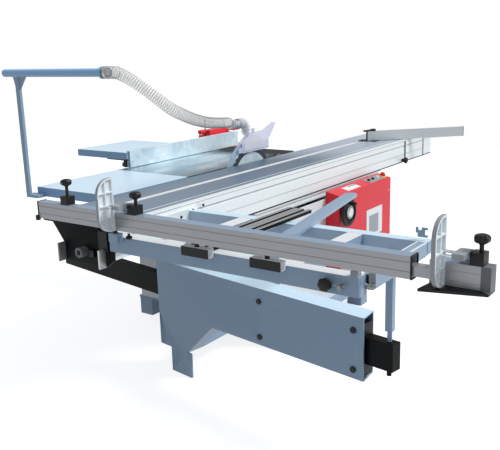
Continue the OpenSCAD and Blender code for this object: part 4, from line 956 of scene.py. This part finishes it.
def makeDial(form):
    disc = Trim()
    disc.turned(form["profile"], form["place"], outward, form["sides"])
    disc.piece("wheelDial", "white", "tilt_handwheel")
    bare = bpy.data.meshes.new("bare")
    values = {"Count": form["marks"], "Radius": form["markRing"] / 1000,
              "Size": tuple(Vector(form["markSize"]) / 1000), "Material": finishes["blackPlastic"]}
    marks = runTree(dialMarks, bare, values)
    spot = (Vector(form["place"]) + Vector(outward) * form["markLift"]) / 1000
    marks.transform(Matrix.Translation(spot) @ Matrix.Rotation(-math.pi / 2, 4, "Y"))
    link("dialMarks", marks, "tilt_handwheel", "blackPlastic")


makeDial(dialForm)
print("wheel dressed")


# ribbed dust hose, along the route of the solid; sizes in metres but for the route
hoseForm = {
    "route": [(-60, 1126, 1411), (-115, 1126, 1411), (-130, 1126, 1411), (-185, 1116, 1388),
              (-240, 1086, 1344), (-280, 1040, 1295), (-302, 985, 1251), (-305, 920, 1223),
              (-290, 840, 1198), (-262, 750, 1178), (-228, 660, 1162), (-190, 570, 1150),
              (-150, 480, 1139), (-112, 390, 1130), (-72, 300, 1121), (-34, 240, 1112),
              (-12, 206, 1102), (0, 184, 1094), (0, 168, 1093), (0, 112, 1093)],  # mm
    "radius": 0.0226,
    "wireRadius": 0.0034,
    "wireSharpness": 6,
    "across": (0, 0, 1),
    "turns": 90,
    "ease": 0.36,  # how much the turns open towards the guard
    "sides": 24,
    "samples": 2400,
}


def smoothRoute(points, samples):
    last = len(points) - 1
    steps = [0.0]
    for a, b in zip(points, points[1:]):
        steps.append(steps[-1] + (b - a).length)
    path = []
    for k in range(samples + 1):
        far = steps[-1] * k / samples
        i = min(max(j for j in range(last + 1) if steps[j] <= far + 1e-9), last - 1)
        t = (far - steps[i]) / (steps[i + 1] - steps[i])
        a, b, c, d = points[max(i - 1, 0)], points[i], points[i + 1], points[min(i + 2, last)]
        bend = (2 * a - 5 * b + 4 * c - d) * t * t + (3 * b - 3 * c + d - a) * t ** 3
        path.append(b + ((c - a) * t + bend) / 2)
    return path


# a tube with a spiral ridge, which the wire attribute marks
def ribbedTube(name, path, form):
    shape = bmesh.new()
    wire = shape.verts.layers.float.new("wire")
    rings = []
    for k, place in enumerate(path):
        ahead = (path[min(k + 1, len(path) - 1)] - path[max(k - 1, 0)]).normalized()
        side = ahead.cross(Vector(form["across"])).normalized()
        up = side.cross(ahead)
        far = k / (len(path) - 1)
        turn = math.tau * form["turns"] * far * (1 - form["ease"] * far) / (1 - form["ease"])
        ring = []
        for s in range(form["sides"]):
            angle = math.tau * s / form["sides"]
            rise = (0.5 + 0.5 * math.cos(turn - angle)) ** form["wireSharpness"]
            reach = form["radius"] + form["wireRadius"] * rise
            spot = shape.verts.new(place + reach * (math.cos(angle) * side + math.sin(angle) * up))
            spot[wire] = rise
            ring.append(spot)
        rings.append(ring)
    for a, b in zip(rings, rings[1:]):
        for s in range(form["sides"]):
            n = (s + 1) % form["sides"]
            shape.faces.new((a[s], a[n], b[n], b[s]))
    shape.faces.new(rings[0])
    shape.faces.new(list(reversed(rings[-1])))
    bmesh.ops.recalc_face_normals(shape, faces=shape.faces)
    mesh = bpy.data.meshes.new(name)
    shape.to_mesh(mesh)
    shape.free()
    mesh.polygons.foreach_set("use_smooth", [True] * len(mesh.polygons))
    piece = bpy.data.objects.new(name, mesh)
    bpy.context.collection.objects.link(piece)
    mesh.materials.append(finishes["hose"])
    return piece


def makeHose(form):
    path = smoothRoute([Vector(p) / 1000 for p in form["route"]], form["samples"])
    piece = ribbedTube("dustHose", path, form)
    length = sum((b - a).length for a, b in zip(path, path[1:]))
    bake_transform(piece)
    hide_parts("dust_hose")
    print("hose made: %.3f m" % length)


# ribbed cuff of the hose, pushed over the guard's elbow
sleeveForm = {
    "route": [(0, 117, 1093), (0, 82, 1093), (0, 65, 1089.6), (0, 51, 1080.1), (0, 41.4, 1065.8),
              (0, 38, 1049), (0, 38, 1034)],  # mm
    "radius": 0.0245,
    "wireRadius": 0.0026,
    "wireSharpness": 6,
    "across": (1, 0, 0),
    "turns": 8,
    "ease": 0.0,
    "sides": 24,
    "samples": 160,
}


def makeSleeve(form):
    path = smoothRoute([Vector(p) / 1000 for p in form["route"]], form["samples"])
    piece = ribbedTube("guardSleeve", path, form)
    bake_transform(piece)
    print("sleeve made")


makeSleeve(sleeveForm)


# raised half-round panels on both sides of the guard's hood, in mm
domeForm = {
    "centre": (-30, 940),
    "reach": (112, 78),
    "sides": (-15.8, 13.6),
    "thick": 2.2,
    "soft": 0.6,
    "steps": 30,
}


def makeDomes(form):
    trim = Trim()
    (y, z), (long, high) = form["centre"], form["reach"]
    arc = [math.pi * k / form["steps"] for k in range(form["steps"] + 1)]
    outline = [(y + long * math.cos(a), z + high * math.sin(a)) for a in arc]
    for side in form["sides"]:
        trim.plate(outline, (side, 0, 0), rearward, upward, form["thick"], form["soft"])
    trim.piece("guardDomes", "guardPale", "guard")


makeDomes(domeForm)
makeHose(hoseForm)


# band and screw that hold the hose on the boom, in mm
clampForm = {
    "place": (-72, 1126, 1411),
    "profile": [(25.4, 0), (26, 1), (26, 9), (25.4, 10)],
    "sides": 40,
    "screwLow": (-82, 1115, 1433),
    "screwHigh": (-72, 1137, 1436.8),
}


def makeHoseClamp(form):
    trim = Trim()
    trim.turned(form["profile"], form["place"], outward, form["sides"])
    trim.box(form["screwLow"], form["screwHigh"])
    trim.piece("hoseClamp", "zinc", "frame")


makeHoseClamp(clampForm)
print("guard and hose dressed")


# floor, world and sun
studio = {
    "floorSize": 14.0,
    "floorTone": "a4a8ac",
    "floorGlow": 0.8,
    "worldStrength": 0.55,
    "sunFrom": (-0.62, -0.42, 0.75),
    "sunPower": 2.4,
    "sunAngle": 0.35,
}


def makeFloor(setup):
    half = setup["floorSize"] / 2
    mesh = bpy.data.meshes.new("floor")
    corners = rectangle(-half, -half, half, half)
    mesh.from_pydata([(x, y, 0) for x, y in corners], [], [(0, 1, 2, 3)])
    shade = Shade("paleFloor")
    light = shade.add("ShaderNodeLightPath").socket.node
    rays = ("Is Camera Ray", "Is Glossy Ray", "Is Transmission Ray")
    seen, glossy, through = [Wire(shade, light.outputs[ray]) for ray in rays]
    matte = shade.add("ShaderNodeBsdfDiffuse", None, {"Color": tone(setup["floorTone"])})
    strength = (seen + glossy + through) * setup["floorGlow"]
    glow = shade.add("ShaderNodeEmission", None, {"Color": tone("ffffff"), "Strength": strength})
    both = shade.add("ShaderNodeAddShader", None, {0: matte, 1: glow})
    shade.add("ShaderNodeOutputMaterial", None, {"Surface": both})
    mesh.materials.append(shade.material)
    floor = bpy.data.objects.new("floor", mesh)
    bpy.context.collection.objects.link(floor)


def makeWorld(setup):
    world = bpy.data.worlds.new("studioWorld")
    bpy.context.scene.world = world
    world.use_nodes = True
    graph = Graph(world.node_tree)
    seen = graph.add("ShaderNodeLightPath", out="Is Camera Ray")
    sockets = {"Value": seen, "To Min": setup["worldStrength"], "To Max": 1.0}
    strength = graph.add("ShaderNodeMapRange", None, sockets)
    sky = graph.add("ShaderNodeBackground", None, {"Color": tone("ffffff"), "Strength": strength})
    graph.add("ShaderNodeOutputWorld", None, {"Surface": sky})


def makeSun(setup):
    data = bpy.data.lights.new("sun", "SUN")
    data.energy = setup["sunPower"]
    data.angle = setup["sunAngle"]
    lamp = bpy.data.objects.new("sun", data)
    lamp.matrix_world = Vector(setup["sunFrom"]).to_track_quat("Z", "Y").to_matrix().to_4x4()
    bpy.context.collection.objects.link(lamp)


makeFloor(studio)
makeWorld(studio)
makeSun(studio)
bpy.context.scene.view_settings.view_transform = "Standard"
print("studio lit")
